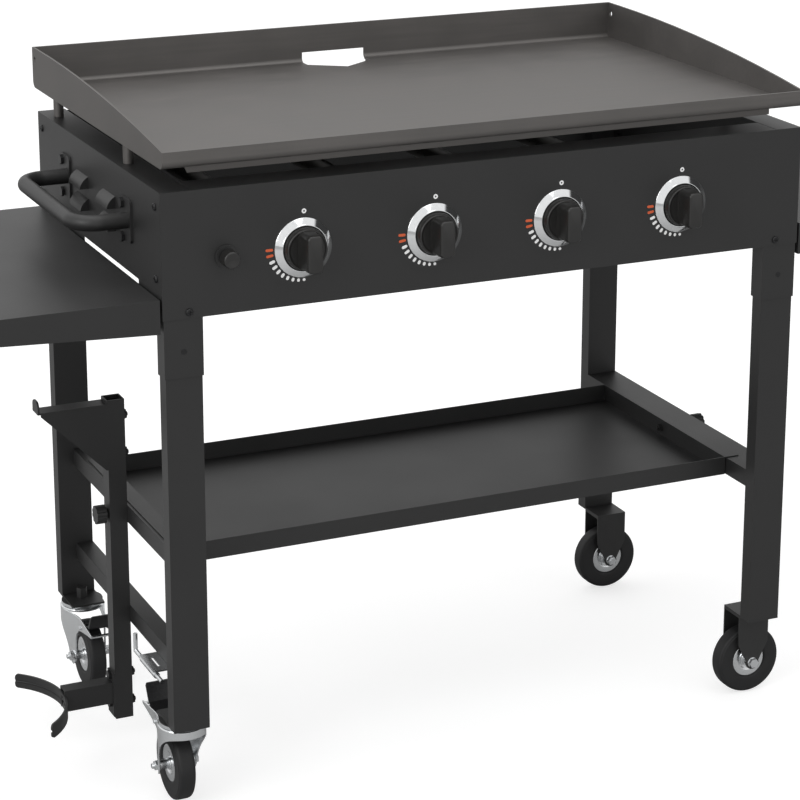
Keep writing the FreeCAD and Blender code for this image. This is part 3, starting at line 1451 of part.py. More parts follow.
def all_pieces():
    """Every piece under its node name."""
    pieces = {
        "griddle_plate": griddle_plate(),
        "plate_stiffener": plate_stiffener(),
        "plate_feet": plate_feet(),
        "grease_cup": grease_cup(),
        "grease_cup_bracket": grease_cup_bracket(),
        "front_panel": front_panel(),
        "left_side_panel": left_side_panel(),
        "right_side_panel": mirror_left_right(side_panel()),
        "rear_panel": rear_panel(),
        "panel_bolts": panel_bolts(),
        "leg_brackets": leg_brackets(),
        "burners": burners(),
        "gas_manifold": gas_manifold(),
        "valve_bodies": valve_bodies(),
        "igniter_electrodes": igniter_electrodes(),
        "igniter_body": igniter_body(),
        "igniter_button": igniter_button(),
        "knob_bezels": knob_bezels(),
        "handle_bar": handle_bar(),
        "handle_brackets": handle_brackets(),
        "left_side_shelf": left_side_shelf(),
        "right_side_shelf": mirror_left_right(left_side_shelf()),
        "left_upper_crossbar": left_crossbar(upper_crossbar_height),
        "left_lower_crossbar": left_crossbar(lower_crossbar_height),
        "right_crossbar": right_crossbar(),
        "bottom_shelf": bottom_shelf(),
        "left_hand_screw": left_hand_screw(),
        "right_hand_screw": right_hand_screw(),
        "tank_post": tank_post(),
        "tank_hook": tank_hook(),
        "tank_cradle": tank_cradle(),
        "frame_bolts": frame_bolts(),
        "latch_plate": latch_plate(),
        "latch_rod": latch_rod(),
        "fixed_forks": fixed_forks(),
        "caster_plates": caster_plates(),
        "front_caster_fork": caster_fork(),
        "rear_caster_fork": mirror_front_back(caster_fork()),
        "front_brake_pedal": brake_pedal(),
        "rear_brake_pedal": mirror_front_back(brake_pedal()),
    }
    for index, x in enumerate(knob_places(), start=1):
        pieces["knob_%d" % index] = knob(x)
        pieces["valve_stem_%d" % index] = valve_stem(x)
    leg = front_left_leg()
    pieces["front_left_leg"] = leg
    pieces["front_right_leg"] = mirror_left_right(leg)
    pieces["rear_left_leg"] = mirror_front_back(leg)
    pieces["rear_right_leg"] = mirror_left_right(mirror_front_back(leg))
    x, y = swivel_axis()
    caster_centre = FreeCAD.Vector(x, y + caster_trail, wheel_radius)
    for name, centre, axis in (("left", caster_centre, X_AXIS), ("right", fixed_wheel_centre(), Y_AXIS)):
        for piece, shape in (("tyre", tyre(centre, axis)), ("rim", rim(centre, axis))):
            pieces["front_%s_%s" % (name, piece)] = shape
            pieces["rear_%s_%s" % (name, piece)] = mirror_front_back(shape)
    return pieces


os.makedirs("parts", exist_ok=True)
for node, shape in all_pieces().items():
    shape.exportStep("parts/%s.step" % node)
    print(node, len(shape.Solids), "valid" if shape.isValid() else "INVALID", round(shape.Volume, 1))
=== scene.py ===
import json
import math

import bmesh
import bpy
import numpy as np
from mathutils import Matrix, Vector


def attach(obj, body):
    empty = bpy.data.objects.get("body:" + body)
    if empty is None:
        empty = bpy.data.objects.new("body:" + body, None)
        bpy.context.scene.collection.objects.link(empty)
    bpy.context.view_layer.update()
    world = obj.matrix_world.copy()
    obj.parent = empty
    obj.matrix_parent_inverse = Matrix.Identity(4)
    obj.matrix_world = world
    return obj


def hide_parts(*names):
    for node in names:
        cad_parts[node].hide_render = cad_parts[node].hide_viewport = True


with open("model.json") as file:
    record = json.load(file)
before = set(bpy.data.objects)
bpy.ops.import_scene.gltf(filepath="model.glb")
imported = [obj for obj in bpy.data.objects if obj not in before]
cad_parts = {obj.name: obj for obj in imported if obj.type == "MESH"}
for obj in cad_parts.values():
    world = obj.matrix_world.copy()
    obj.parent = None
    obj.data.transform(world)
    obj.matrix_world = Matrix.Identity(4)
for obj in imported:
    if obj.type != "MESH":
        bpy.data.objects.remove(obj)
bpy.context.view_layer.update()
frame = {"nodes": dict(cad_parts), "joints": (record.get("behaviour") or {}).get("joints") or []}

# The view: a camera with a long lens, about 3.5 m away, above the cooking plate and round to the left of the
# front. The shifts slide the picture over the object, so that both side shelves are cut off.
camera_place = (-1.43325, -3.17459, 1.60832)
yaw, pitch, roll = math.radians(24.48), math.radians(-15.26), math.radians(0.13)
camera = bpy.data.objects.new("camera", bpy.data.cameras.new("camera"))
bpy.context.collection.objects.link(camera)
forward = Vector((math.sin(yaw) * math.cos(pitch), math.cos(yaw) * math.cos(pitch), math.sin(pitch)))
level = Vector((math.cos(yaw), -math.sin(yaw), 0.0))
upward = level.cross(forward)
across = level * math.cos(roll) + upward * math.sin(roll)
aloft = upward * math.cos(roll) - level * math.sin(roll)
turn = Matrix((across, aloft, -forward)).transposed()
camera.matrix_world = Matrix.Translation(camera_place) @ turn.to_4x4()
camera.data.sensor_width = 36.0
camera.data.lens = 114.88
camera.data.shift_x = -0.0183
camera.data.shift_y = -0.1902
camera.data.clip_end = 60.0
bpy.context.scene.camera = camera
bpy.context.scene.view_settings.view_transform = "Standard"

# The light: a wide softbox overhead, a smaller one at the left and an even white surround, which is a little
# weaker where it lights the metal than where the camera sees it. A black flag stands far off at the right,
# above the panel's height, and gives the chrome and zinc their dark edges.


def linear(code):
    """An sRGB hex colour as linear RGBA: c / 12.92 in dark channels, else ((c + 0.055) / 1.055) ** 2.4."""
    channels = [int(code[i:i + 2], 16) / 255 for i in (1, 3, 5)]
    return tuple(c / 12.92 if c < 0.04045 else ((c + 0.055) / 1.055) ** 2.4 for c in channels) + (1.0,)


def add(holder, kind, sockets=None, **settings):
    """One node of a material, world or node group: its settings, then each socket's value or its feed."""
    tree = getattr(holder, "node_tree", holder)
    node = tree.nodes.new(kind)
    for name, value in settings.items():
        setattr(node, name, value)
    for name, value in (sockets or {}).items():
        if isinstance(value, bpy.types.NodeSocket):
            tree.links.new(value, node.inputs[name])
        else:
            node.inputs[name].default_value = value
    return node


def soft_light(name, place, aim, size, watts):
    """A white oblong softbox at a place, turned towards its aim."""
    lamp = bpy.data.objects.new(name, bpy.data.lights.new(name, "AREA"))
    bpy.context.collection.objects.link(lamp)
    lamp.data.shape = "RECTANGLE"
    lamp.data.size, lamp.data.size_y = size
    lamp.data.energy = watts
    lamp.location = place
    lamp.rotation_euler = (Vector(aim) - Vector(place)).to_track_quat("-Z", "Y").to_euler()


soft_light("overhead_softbox", place=(-0.2, -0.2, 3.2), aim=(0.0, 0.0, 0.7), size=(3.2, 2.4), watts=26.0)
soft_light("left_softbox", place=(-3.4, -1.6, 2.2), aim=(0.0, 0.0, 0.6), size=(1.8, 2.2), watts=36.0)

surround = bpy.data.worlds.new("studio_surround")
bpy.context.scene.world = surround
surround.use_nodes = True
surround.node_tree.nodes.clear()
flag_direction = (0.95, -0.17, 0.26)
outlook = add(surround, "ShaderNodeTexCoord").outputs["Generated"]
towards_flag = add(surround, "ShaderNodeVectorMath", {0: outlook, 1: flag_direction}, operation="DOT_PRODUCT")
flagged = add(surround, "ShaderNodeMapRange", {
    "Value": towards_flag.outputs["Value"], "From Min": 0.90, "From Max": 0.94,
    "To Min": 0.88, "To Max": 0.04})
seen = add(surround, "ShaderNodeLightPath").outputs["Is Camera Ray"]
strength = add(surround, "ShaderNodeMapRange", {
    "Value": seen, "To Min": flagged.outputs["Result"], "To Max": 1.0})
glow = add(surround, "ShaderNodeBackground", {
    "Color": linear("#ffffff"), "Strength": strength.outputs["Result"]})
add(surround, "ShaderNodeOutputWorld", {"Surface": glow.outputs["Background"]})

# The floor: a white studio table a millimetre below the wheels, lit from below so that shadows stay faint.
# It reaches well past the picture on every side.


def blank_material(name):
    """A material with an empty node tree."""
    material = bpy.data.materials.new(name)
    material.use_nodes = True
    material.node_tree.nodes.clear()
    return material


floor_paint = blank_material("matt_white_floor")
# Matt white paint: no shine, and a mottling in patches of 0.7 m that is only just there.
floor_place = add(floor_paint, "ShaderNodeTexCoord").outputs["Object"]
mottle = add(floor_paint, "ShaderNodeTexNoise", {"Vector": floor_place, "Scale": 1.5, "Detail": 2.0})
floor_tint = add(floor_paint, "ShaderNodeMix", {
    "Factor": mottle.outputs["Fac"], "A": linear("#b9b9b9"), "B": linear("#bdbdbd")}, data_type="RGBA")
table_seen = add(floor_paint, "ShaderNodeLightPath").outputs["Is Camera Ray"]
table_glow = add(floor_paint, "ShaderNodeMapRange", {"Value": table_seen, "To Min": 0.0, "To Max": 0.68})
floor_shade = add(floor_paint, "ShaderNodeBsdfPrincipled", {
    "Base Color": floor_tint.outputs["Result"], "Roughness": 0.95, "Specular IOR Level": 0.1,
    "Emission Color": linear("#ffffff"), "Emission Strength": table_glow.outputs["Result"]})
add(floor_paint, "ShaderNodeOutputMaterial", {"Surface": floor_shade.outputs["BSDF"]})
floor_side, floor_near, floor_far, floor_z = 14, -8, 26, -0.001
floor_corners = [(-floor_side, floor_near, floor_z), (floor_side, floor_near, floor_z),
                 (floor_side, floor_far, floor_z), (-floor_side, floor_far, floor_z)]
floor_mesh = bpy.data.meshes.new("studio_floor")
floor_mesh.from_pydata(floor_corners, [], [(0, 1, 2, 3)])
floor_mesh.materials.append(floor_paint)
studio_floor = bpy.data.objects.new("studio_floor", floor_mesh)
bpy.context.collection.objects.link(studio_floor)

# Body box: four folded panels of 1.2 mm mild steel with top rails and flanges, the left one with pressed
# louvres. They are powder coated black and screwed to four corner brackets, whose lower halves run down round
# the leg tops. The folds are soft, so every edge is rounded by about half a millimetre.
powder_dark, powder_light = linear("#222222"), linear("#282828")

powder_coat = blank_material("black_powder_coat")
# Baked polyester powder: deep black grey, half matt, its tint drifting over 140 mm, with a fine orange peel
# that breaks up the shine. The peel is 0.7 mm in life and drawn 1.6 mm wide, so that it shows.
coat_place = add(powder_coat, "ShaderNodeTexCoord").outputs["Object"]
peel = add(powder_coat, "ShaderNodeTexNoise", {"Vector": coat_place, "Scale": 1000 / 1.6, "Detail": 3.0})
drift = add(powder_coat, "ShaderNodeTexNoise", {"Vector": coat_place, "Scale": 1000 / 140, "Detail": 3.0})
coat_tint = add(powder_coat, "ShaderNodeMix", {
    "Factor": drift.outputs["Fac"], "A": powder_dark, "B": powder_light}, data_type="RGBA")
coat_rough = add(powder_coat, "ShaderNodeMapRange", {
    "Value": drift.outputs["Fac"], "To Min": 0.40, "To Max": 0.52})
coat_bump = add(powder_coat, "ShaderNodeBump", {
    "Height": peel.outputs["Fac"], "Strength": 0.12, "Distance": 0.0003})
coat_shade = add(powder_coat, "ShaderNodeBsdfPrincipled", {
    "Base Color": coat_tint.outputs["Result"], "Roughness": coat_rough.outputs["Result"], "IOR": 1.5,
    "Normal": coat_bump.outputs["Normal"]})
add(powder_coat, "ShaderNodeOutputMaterial", {"Surface": coat_shade.outputs["BSDF"]})

# Every face is shaded smooth, except across edges sharper than this.
sharp_angle = math.radians(32)
smoothing = bpy.data.node_groups.new("smooth_below_sharp_angle", "GeometryNodeTree")
smoothing.interface.new_socket("Geometry", in_out="INPUT", socket_type="NodeSocketGeometry")
smoothing.interface.new_socket("Geometry", in_out="OUTPUT", socket_type="NodeSocketGeometry")
shape_in = add(smoothing, "NodeGroupInput").outputs["Geometry"]
all_smooth = add(smoothing, "GeometryNodeSetShadeSmooth", {"Geometry": shape_in})
fold = add(smoothing, "GeometryNodeInputMeshEdgeAngle").outputs["Unsigned Angle"]
too_sharp = add(smoothing, "FunctionNodeCompare", {"A": fold, "B": sharp_angle})
some_sharp = add(smoothing, "GeometryNodeSetShadeSmooth", {
    "Geometry": all_smooth.outputs["Geometry"], "Selection": too_sharp.outputs["Result"],
    "Shade Smooth": False}, domain="EDGE")
add(smoothing, "NodeGroupOutput", {"Geometry": some_sharp.outputs["Geometry"]})


def dress(node, material, edge_mm=0.0):
    """Finishes a CAD piece: triangles joined, flat faces made whole, edges rounded, curves smooth."""
    piece = frame["nodes"][node]
    for slot in piece.material_slots:
        slot.link = "OBJECT"
        slot.material = material
    weld = piece.modifiers.new("join_triangles", "WELD")
    weld.merge_threshold = 0.01 / 1000
    if edge_mm:
        flat = piece.modifiers.new("join_flat_faces", "DECIMATE")
        flat.decimate_type = "DISSOLVE"
        flat.angle_limit = math.radians(0.5)
        rounding = piece.modifiers.new("round_edges", "BEVEL")
        rounding.width = edge_mm / 1000
        rounding.segments = 2
        rounding.limit_method = "ANGLE"
        rounding.angle_limit = math.radians(40)
        rounding.use_clamp_overlap = True
        rounding.miter_outer = "MITER_ARC"
    piece.modifiers.new("smooth_curves", "NODES").node_group = smoothing
    flatten = piece.modifiers.new("flat_faces_stay_flat", "WEIGHTED_NORMAL")
    flatten.keep_sharp = True


for node in ("front_panel", "left_side_panel", "right_side_panel", "rear_panel"):
    dress(node, powder_coat, edge_mm=0.5)
dress("leg_brackets", powder_coat, edge_mm=0.4)

# Screws and bolts of the body, handle and cup bracket: blackened steel under a thin film of oil, with domed
# heads. They hold the panels to the corner brackets, and the handle and the cup bracket to the panels.
black_oxide = blank_material("black_oxide_screw_steel")
# Blackened steel: nearly black, a little brighter and less glossy in 3 mm spots where the oil is rubbed off.
oxide_place = add(black_oxide, "ShaderNodeTexCoord").outputs["Object"]
rubbed = add(black_oxide, "ShaderNodeTexNoise", {"Vector": oxide_place, "Scale": 1000 / 3.0, "Detail": 4.0})
oxide_tint = add(black_oxide, "ShaderNodeMix", {
    "Factor": rubbed.outputs["Fac"], "A": linear("#1c1c1d"), "B": linear("#3a3a3b")}, data_type="RGBA")
oxide_rough = add(black_oxide, "ShaderNodeMapRange", {
    "Value": rubbed.outputs["Fac"], "To Min": 0.28, "To Max": 0.45})
oxide_shade = add(black_oxide, "ShaderNodeBsdfPrincipled", {
    "Base Color": oxide_tint.outputs["Result"], "Metallic": 0.6, "Roughness": oxide_rough.outputs["Result"]})
add(black_oxide, "ShaderNodeOutputMaterial", {"Surface": oxide_shade.outputs["BSDF"]})
dress("panel_bolts", black_oxide, edge_mm=0.15)

# Griddle plate: hot rolled carbon steel, bent in front and at the rear, side walls welded on and dressed. The
# flat bar and the four feet under it are welded on and bare too. The plate only rests on the body.
rolled_steel = blank_material("hot_rolled_steel")
# Oiled mill scale: grey with a warm cast, soft wide shine, long faint streaks along the rolling direction (X)
# about 6 mm apart, cloudy patches 80 mm wide, and a fine tooth drawn at 1.2 mm.
steel_place = add(rolled_steel, "ShaderNodeTexCoord").outputs["Object"]
drawn = add(rolled_steel, "ShaderNodeMapping", {"Vector": steel_place, "Scale": (0.04, 1.0, 1.0)})
streaks = add(rolled_steel, "ShaderNodeTexNoise", {
    "Vector": drawn.outputs["Vector"], "Scale": 1000 / 6.0, "Detail": 4.0})
clouds = add(rolled_steel, "ShaderNodeTexNoise", {"Vector": steel_place, "Scale": 1000 / 80, "Detail": 4.0})
tooth = add(rolled_steel, "ShaderNodeTexNoise", {"Vector": steel_place, "Scale": 1000 / 1.2, "Detail": 2.0})
patches = add(rolled_steel, "ShaderNodeMath", {
    0: clouds.outputs["Fac"], 1: streaks.outputs["Fac"]}, operation="MULTIPLY")
spread = add(rolled_steel, "ShaderNodeMapRange", {
    "Value": patches.outputs["Value"], "From Min": 0.12, "From Max": 0.42})
steel_tint = add(rolled_steel, "ShaderNodeMix", {
    "Factor": spread.outputs["Result"], "A": linear("#6a6866"), "B": linear("#74716f")}, data_type="RGBA")
steel_rough = add(rolled_steel, "ShaderNodeMapRange", {
    "Value": spread.outputs["Result"], "To Min": 0.50, "To Max": 0.60})
steel_bump = add(rolled_steel, "ShaderNodeBump", {
    "Height": tooth.outputs["Fac"], "Strength": 0.08, "Distance": 0.0002})
steel_shade = add(rolled_steel, "ShaderNodeBsdfPrincipled", {
    "Base Color": steel_tint.outputs["Result"], "Metallic": 0.85, "Roughness": steel_rough.outputs["Result"],
    "Normal": steel_bump.outputs["Normal"]})
add(rolled_steel, "ShaderNodeOutputMaterial", {"Surface": steel_shade.outputs["BSDF"]})
dress("griddle_plate", rolled_steel, edge_mm=0.6)
dress("plate_stiffener", rolled_steel, edge_mm=0.4)
dress("plate_feet", rolled_steel, edge_mm=0.4)

# Grease cup: drawn from thin zinc plated steel, with a flat rim that slides on the two arms of a bracket.
# The bracket is folded, powder coated and screwed to the rear panel.
zinc_dull, zinc_bright = linear("#e2e4e6"), linear("#e9ebec")

zinc = blank_material("bright_zinc_plate")
# Electroplated zinc: light cool grey, satin bright, with very faint duller clouds about 9 mm wide.
zinc_place = add(zinc, "ShaderNodeTexCoord").outputs["Object"]
bloom = add(zinc, "ShaderNodeTexNoise", {"Vector": zinc_place, "Scale": 1000 / 9.0, "Detail": 4.0})
zinc_tint = add(zinc, "ShaderNodeMix", {
    "Factor": bloom.outputs["Fac"], "A": zinc_dull, "B": zinc_bright}, data_type="RGBA")
zinc_rough = add(zinc, "ShaderNodeMapRange", {"Value": bloom.outputs["Fac"], "To Min": 0.20, "To Max": 0.26})
zinc_shade = add(zinc, "ShaderNodeBsdfPrincipled", {
    "Base Color": zinc_tint.outputs["Result"], "Metallic": 1.0, "Roughness": zinc_rough.outputs["Result"]})
add(zinc, "ShaderNodeOutputMaterial", {"Surface": zinc_shade.outputs["BSDF"]})
dress("grease_cup", zinc, edge_mm=0.3)
dress("grease_cup_bracket", powder_coat, edge_mm=0.4)

# Gas train: four aluminised steel tube burners on a steel manifold behind the panel, each with a turned brass
# valve whose stem comes out through the panel, and a ceramic spark rod beside each burner.
burner_steel = blank_material("aluminised_burner_steel")
# Aluminised tube: dull metal, its colour darkened as painted shade for the gap under the plate, with a drawn
# grain along Y, 1.5 mm apart.
burner_place = add(burner_steel, "ShaderNodeTexCoord").outputs["Object"]
burner_grain = add(burner_steel, "ShaderNodeMapping", {"Vector": burner_place, "Scale": (1.0, 0.05, 1.0)})
burner_lines = add(burner_steel, "ShaderNodeTexNoise", {
    "Vector": burner_grain.outputs["Vector"], "Scale": 1000 / 1.5, "Detail": 2.0})
# Both dark greys are painted shade: the burners and the manifold are darkened for the shadow they sit in
# under the plate.
burner_tint_painted_shade = add(burner_steel, "ShaderNodeMix", {
    "Factor": burner_lines.outputs["Fac"], "A": linear("#302f2d"), "B": linear("#403f3c")}, data_type="RGBA")
burner_shade = add(burner_steel, "ShaderNodeBsdfPrincipled", {
    "Base Color": burner_tint_painted_shade.outputs["Result"], "Metallic": 1.0, "Roughness": 0.42})
add(burner_steel, "ShaderNodeOutputMaterial", {"Surface": burner_shade.outputs["BSDF"]})
dress("burners", burner_steel)
dress("gas_manifold", burner_steel, edge_mm=0.3)

brass = blank_material("turned_brass")
# Turned brass: yellow, fairly bright, with darker handled spots about 4 mm wide.
brass_place = add(brass, "ShaderNodeTexCoord").outputs["Object"]
handled = add(brass, "ShaderNodeTexNoise", {"Vector": brass_place, "Scale": 1000 / 4.0, "Detail": 3.0})
brass_tint = add(brass, "ShaderNodeMix", {
    "Factor": handled.outputs["Fac"], "A": linear("#a5813f"), "B": linear("#d3ae63")}, data_type="RGBA")
brass_shade = add(brass, "ShaderNodeBsdfPrincipled", {
    "Base Color": brass_tint.outputs["Result"], "Metallic": 1.0, "Roughness": 0.3})
add(brass, "ShaderNodeOutputMaterial", {"Surface": brass_shade.outputs["BSDF"]})
dress("valve_bodies", brass, edge_mm=0.3)
for number in range(1, 5):
    dress("valve_stem_%d" % number, brass, edge_mm=0.2)

ceramic = blank_material("glazed_ceramic")
# Glazed alumina rod: warm white, glossy, with faint crazing cells 2 mm across.
ceramic_place = add(ceramic, "ShaderNodeTexCoord").outputs["Object"]
crazing = add(ceramic, "ShaderNodeTexVoronoi", {
    "Vector": ceramic_place, "Scale": 1000 / 2.0}, feature="DISTANCE_TO_EDGE")
craze_line = add(ceramic, "ShaderNodeMapRange", {"Value": crazing.outputs["Distance"], "From Max": 0.06})
ceramic_tint = add(ceramic, "ShaderNodeMix", {
    "Factor": craze_line.outputs["Result"], "A": linear("#d9d2c4"), "B": linear("#efebe2")}, data_type="RGBA")
ceramic_shade = add(ceramic, "ShaderNodeBsdfPrincipled", {
    "Base Color": ceramic_tint.outputs["Result"], "Roughness": 0.15, "IOR": 1.6})
add(ceramic, "ShaderNodeOutputMaterial", {"Surface": ceramic_shade.outputs["BSDF"]})
dress("igniter_electrodes", ceramic, edge_mm=0.3)

# Bezel rings: pressed from steel strip and bright chrome plated, one round each knob, clipped into the panel.
# The ring's front is a shallow cone that rises from a thin outer rim to a narrow inner lip.
bezel_inside, bezel_outside, bezel_rim, bezel_lip = 29.0, 39.0, 1.6, 7.9
panel_front = (0, -1, 0)


def joint_place(name):
    """A point on a joint's axis, in millimetres."""
    joint = next(joint for joint in frame["joints"] if joint["name"] == name)
    return np.array(joint["pos_m"]) * 1000


def grid_faces(rows, columns, wrap_rows=False, wrap_columns=False):
    """Quads between neighbouring rows and columns of a grid, whose point (i, j) has number i * columns + j.
    Where a direction wraps, its last row or column meets the first."""
    row = np.arange(rows if wrap_rows else rows - 1)[:, None]
    column = np.arange(columns if wrap_columns else columns - 1)[None]
    next_row, next_column = (row + 1) % rows, (column + 1) % columns
    corners = (row * columns + column, row * columns + next_column, next_row * columns + next_column,
               next_row * columns + column)
    return np.stack(corners, axis=-1).reshape(-1, 4)


def turned(profile, centre, axis, steps=96):
    """A profile turned round an axis. Row i, column j is the centre plus h[i] along the axis plus r[i] along
    cos a[j] * u + sin a[j] * v, where (r, h) is a profile point and u, v and the axis are at right angles.
    Rows and columns both close on themselves."""
    profile = np.asarray(profile, float)
    axis = np.asarray(axis, float)
    side = np.array([0.0, 0.0, 1.0]) if abs(axis[2]) < 0.5 else np.array([1.0, 0.0, 0.0])
    other = np.cross(axis, side)
    angle = np.arange(steps) * 2 * np.pi / steps
    ring = np.cos(angle)[:, None] * side + np.sin(angle)[:, None] * other
    radius, height = profile[:, 0, None, None], profile[:, 1, None, None]
    points = np.asarray(centre) + height * axis + radius * ring[None]
    return points.reshape(-1, 3), grid_faces(len(profile), steps, wrap_rows=True, wrap_columns=True)


def rounded(corners, radius, arc=5):
    """An outline with its corners rounded: each becomes a quadratic arc between the points a radius away from
    it, or just under half a side away where that is less."""
    corners = np.asarray(corners, float)
    before = np.roll(corners, 1, axis=0) - corners
    after = np.roll(corners, -1, axis=0) - corners
    reach_before = np.linalg.norm(before, axis=1, keepdims=True)
    reach_after = np.linalg.norm(after, axis=1, keepdims=True)
    start = corners + before / reach_before * np.minimum(radius, reach_before / 2.05)
    end = corners + after / reach_after * np.minimum(radius, reach_after / 2.05)
    t = np.linspace(0, 1, arc)[None, :, None]
    curve = (1 - t) ** 2 * start[:, None] + 2 * t * (1 - t) * corners[:, None] + t ** 2 * end[:, None]
    return curve.reshape(-1, 2)


def together(*parts):
    """Several meshes as one: points stacked, and face numbers shifted by the points before them."""
    shift = np.cumsum([0] + [len(points) for points, faces in parts[:-1]])
    points = np.concatenate([points for points, faces in parts])
    faces = [tuple(int(i) + int(offset) for i in face)
             for (_, part), offset in zip(parts, shift) for face in part]
    return points, faces


def new_piece(name, points, faces, material, body, slot, *nodes):
    """A mesh from millimetre points, with doubles joined and faces turned outward, put on its body."""
    mesh = bpy.data.meshes.new(name)
    mesh.from_pydata(np.asarray(points) / 1000, [], [tuple(int(i) for i in face) for face in faces])
    work = bmesh.new()
    work.from_mesh(mesh)
    bmesh.ops.remove_doubles(work, verts=work.verts, dist=0.002 / 1000)
    bmesh.ops.recalc_face_normals(work, faces=work.faces)
    work.to_mesh(mesh)
    work.free()
    mesh.shade_smooth()
    mesh.set_sharp_from_angle(angle=sharp_angle)
    mesh.materials.append(material)
    made = bpy.data.objects.new(name, mesh)
    bpy.context.collection.objects.link(made)
    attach(made, body)
    if nodes:
        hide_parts(*nodes)
    return made


chrome = blank_material("bright_chrome")
# Chrome plate: mirror bright, faintly hazed in 5 mm clouds where it has been wiped.
chrome_place = add(chrome, "ShaderNodeTexCoord").outputs["Object"]
wiped = add(chrome, "ShaderNodeTexNoise", {"Vector": chrome_place, "Scale": 1000 / 5.0, "Detail": 3.0})
chrome_rough = add(chrome, "ShaderNodeMapRange", {
    "Value": wiped.outputs["Fac"], "To Min": 0.05, "To Max": 0.14})
chrome_tint = add(chrome, "ShaderNodeMix", {
    "Factor": wiped.outputs["Fac"], "A": linear("#e4e6e8"), "B": linear("#f4f5f5")}, data_type="RGBA")
chrome_shade = add(chrome, "ShaderNodeBsdfPrincipled", {
    "Base Color": chrome_tint.outputs["Result"], "Metallic": 1.0,
    "Roughness": chrome_rough.outputs["Result"]})
add(chrome, "ShaderNodeOutputMaterial", {"Surface": chrome_shade.outputs["BSDF"]})

knob_middles = [joint_place("knob_%d_turn" % number) for number in range(1, 5)]
bezel_profile = rounded([(bezel_inside, 0.0), (bezel_outside, 0.0), (bezel_outside, bezel_rim), (31.4, 7.0),
                         (30.4, bezel_lip), (bezel_inside + 0.2, 7.6)], radius=0.5)
bezels = together(*[turned(bezel_profile, middle, panel_front, steps=128) for middle in knob_middles])
new_piece("bezel_rings", *bezels, chrome, "station", "chrome_ring", "knob_bezels")

# Dial marks: a small ring for off above each knob, two orange dashes at the left for high, and eight white
# dashes that shrink to a dot for low. They are screen printed, and stand up a tenth of a millimetre here.
print_height = 0.12
print_root = 0.01
dash_start = 40.6
high_marks_at = {179.0: 10.0, 188.7: 9.8}
high_width = 3.6
low_first_angle, low_angle_step = 200.0, 10.2
low_lengths = (8.0, 7.6, 6.9, 6.3, 5.7, 5.1, 4.5, 3.9)
low_width = 3.9
off_inside, off_outside = 1.2, 3.2
off_place = (1.8, 0.0, 47.2)


def printed_ink(name, code, faded):
    """Screen printing ink: flat satin colour, a little thin in 1.5 mm spots."""
    ink = blank_material(name)
    place = add(ink, "ShaderNodeTexCoord").outputs["Object"]
    thin = add(ink, "ShaderNodeTexNoise", {"Vector": place, "Scale": 1000 / 1.5, "Detail": 2.0})
    tint = add(ink, "ShaderNodeMix", {
        "Factor": thin.outputs["Fac"], "A": linear(faded), "B": linear(code)}, data_type="RGBA")
    shade = add(ink, "ShaderNodeBsdfPrincipled", {"Base Color": tint.outputs["Result"], "Roughness": 0.5})
    add(ink, "ShaderNodeOutputMaterial", {"Surface": shade.outputs["BSDF"]})
    return ink


def dash(middle, angle, length, width, corners=24):
    """A dash with round ends on the panel, pointing away from a knob: a circle of half the width whose far
    half is shifted by length less width, turned to its angle, and given a rim down to the panel."""
    around = np.arange(corners) * 2 * np.pi / corners
    far_half = np.where(np.cos(around) > 0, length - width, 0.0)
    run = dash_start + width / 2 + np.cos(around) * width / 2 + far_half
    rise = np.sin(around) * width / 2
    bearing = math.radians(angle)
    mark_x = middle[0] + run * math.cos(bearing) - rise * math.sin(bearing)
    mark_z = middle[2] + run * math.sin(bearing) + rise * math.cos(bearing)
    top = np.stack([mark_x, np.full(corners, middle[1] - print_height), mark_z], axis=1)
    low = top + (0.0, print_height - print_root, 0.0)
    caps = [tuple(range(corners)), tuple(range(2 * corners - 1, corners - 1, -1))]
    return np.concatenate([top, low]), caps + list(grid_faces(2, corners, wrap_columns=True))


orange_ink = printed_ink("orange_screen_ink", "#e2673a", "#c9532a")
white_ink = printed_ink("white_screen_ink", "#ffffff", "#efefee")
off_profile = [(off_inside, print_root), (off_outside, print_root), (off_outside, print_height),
               (off_inside, print_height)]
high_marks, low_marks = [], []
for middle in knob_middles:
    high_marks += [dash(middle, angle, length, high_width) for angle, length in high_marks_at.items()]
    low_marks += [dash(middle, low_first_angle + low_angle_step * step, length, low_width)
                  for step, length in enumerate(low_lengths)]
    low_marks.append(turned(off_profile, middle + off_place, panel_front, steps=32))
new_piece("high_marks", *together(*high_marks), orange_ink, "station", "black_powder_coat")
new_piece("low_and_off_marks", *together(*low_marks), white_ink, "station", "black_powder_coat")

# Knobs: glossy black moulded nylon, a round skirt with a dished face and an upright finger bar that leans in
# slightly to its front. Each is pushed on to its valve stem.
gloss_plastic = blank_material("glossy_black_nylon")
# Moulded nylon: black, a wide soft shine, with a slow waviness 12 mm wide.
gloss_place = add(gloss_plastic, "ShaderNodeTexCoord").outputs["Object"]
flow = add(gloss_plastic, "ShaderNodeTexNoise", {"Vector": gloss_place, "Scale": 1000 / 12, "Detail": 2.0})
gloss_tint = add(gloss_plastic, "ShaderNodeMix", {
    "Factor": flow.outputs["Fac"], "A": linear("#1f1f1e"), "B": linear("#272625")}, data_type="RGBA")
gloss_rough = add(gloss_plastic, "ShaderNodeMapRange", {
    "Value": flow.outputs["Fac"], "To Min": 0.30, "To Max": 0.36})
gloss_shade = add(gloss_plastic, "ShaderNodeBsdfPrincipled", {
    "Base Color": gloss_tint.outputs["Result"], "Roughness": gloss_rough.outputs["Result"], "IOR": 1.53})
add(gloss_plastic, "ShaderNodeOutputMaterial", {"Surface": gloss_shade.outputs["BSDF"]})

# The skirt's outline is (radius, height over the panel), from the stem's bore round the rim to the dish.
skirt_profile = rounded([(4.0, 5.0), (28.4, 5.0), (28.4, 8.0), (27.2, 16.2), (25.4, 17.0), (23.4, 15.4),
                         (4.0, 15.0)], radius=1.1)


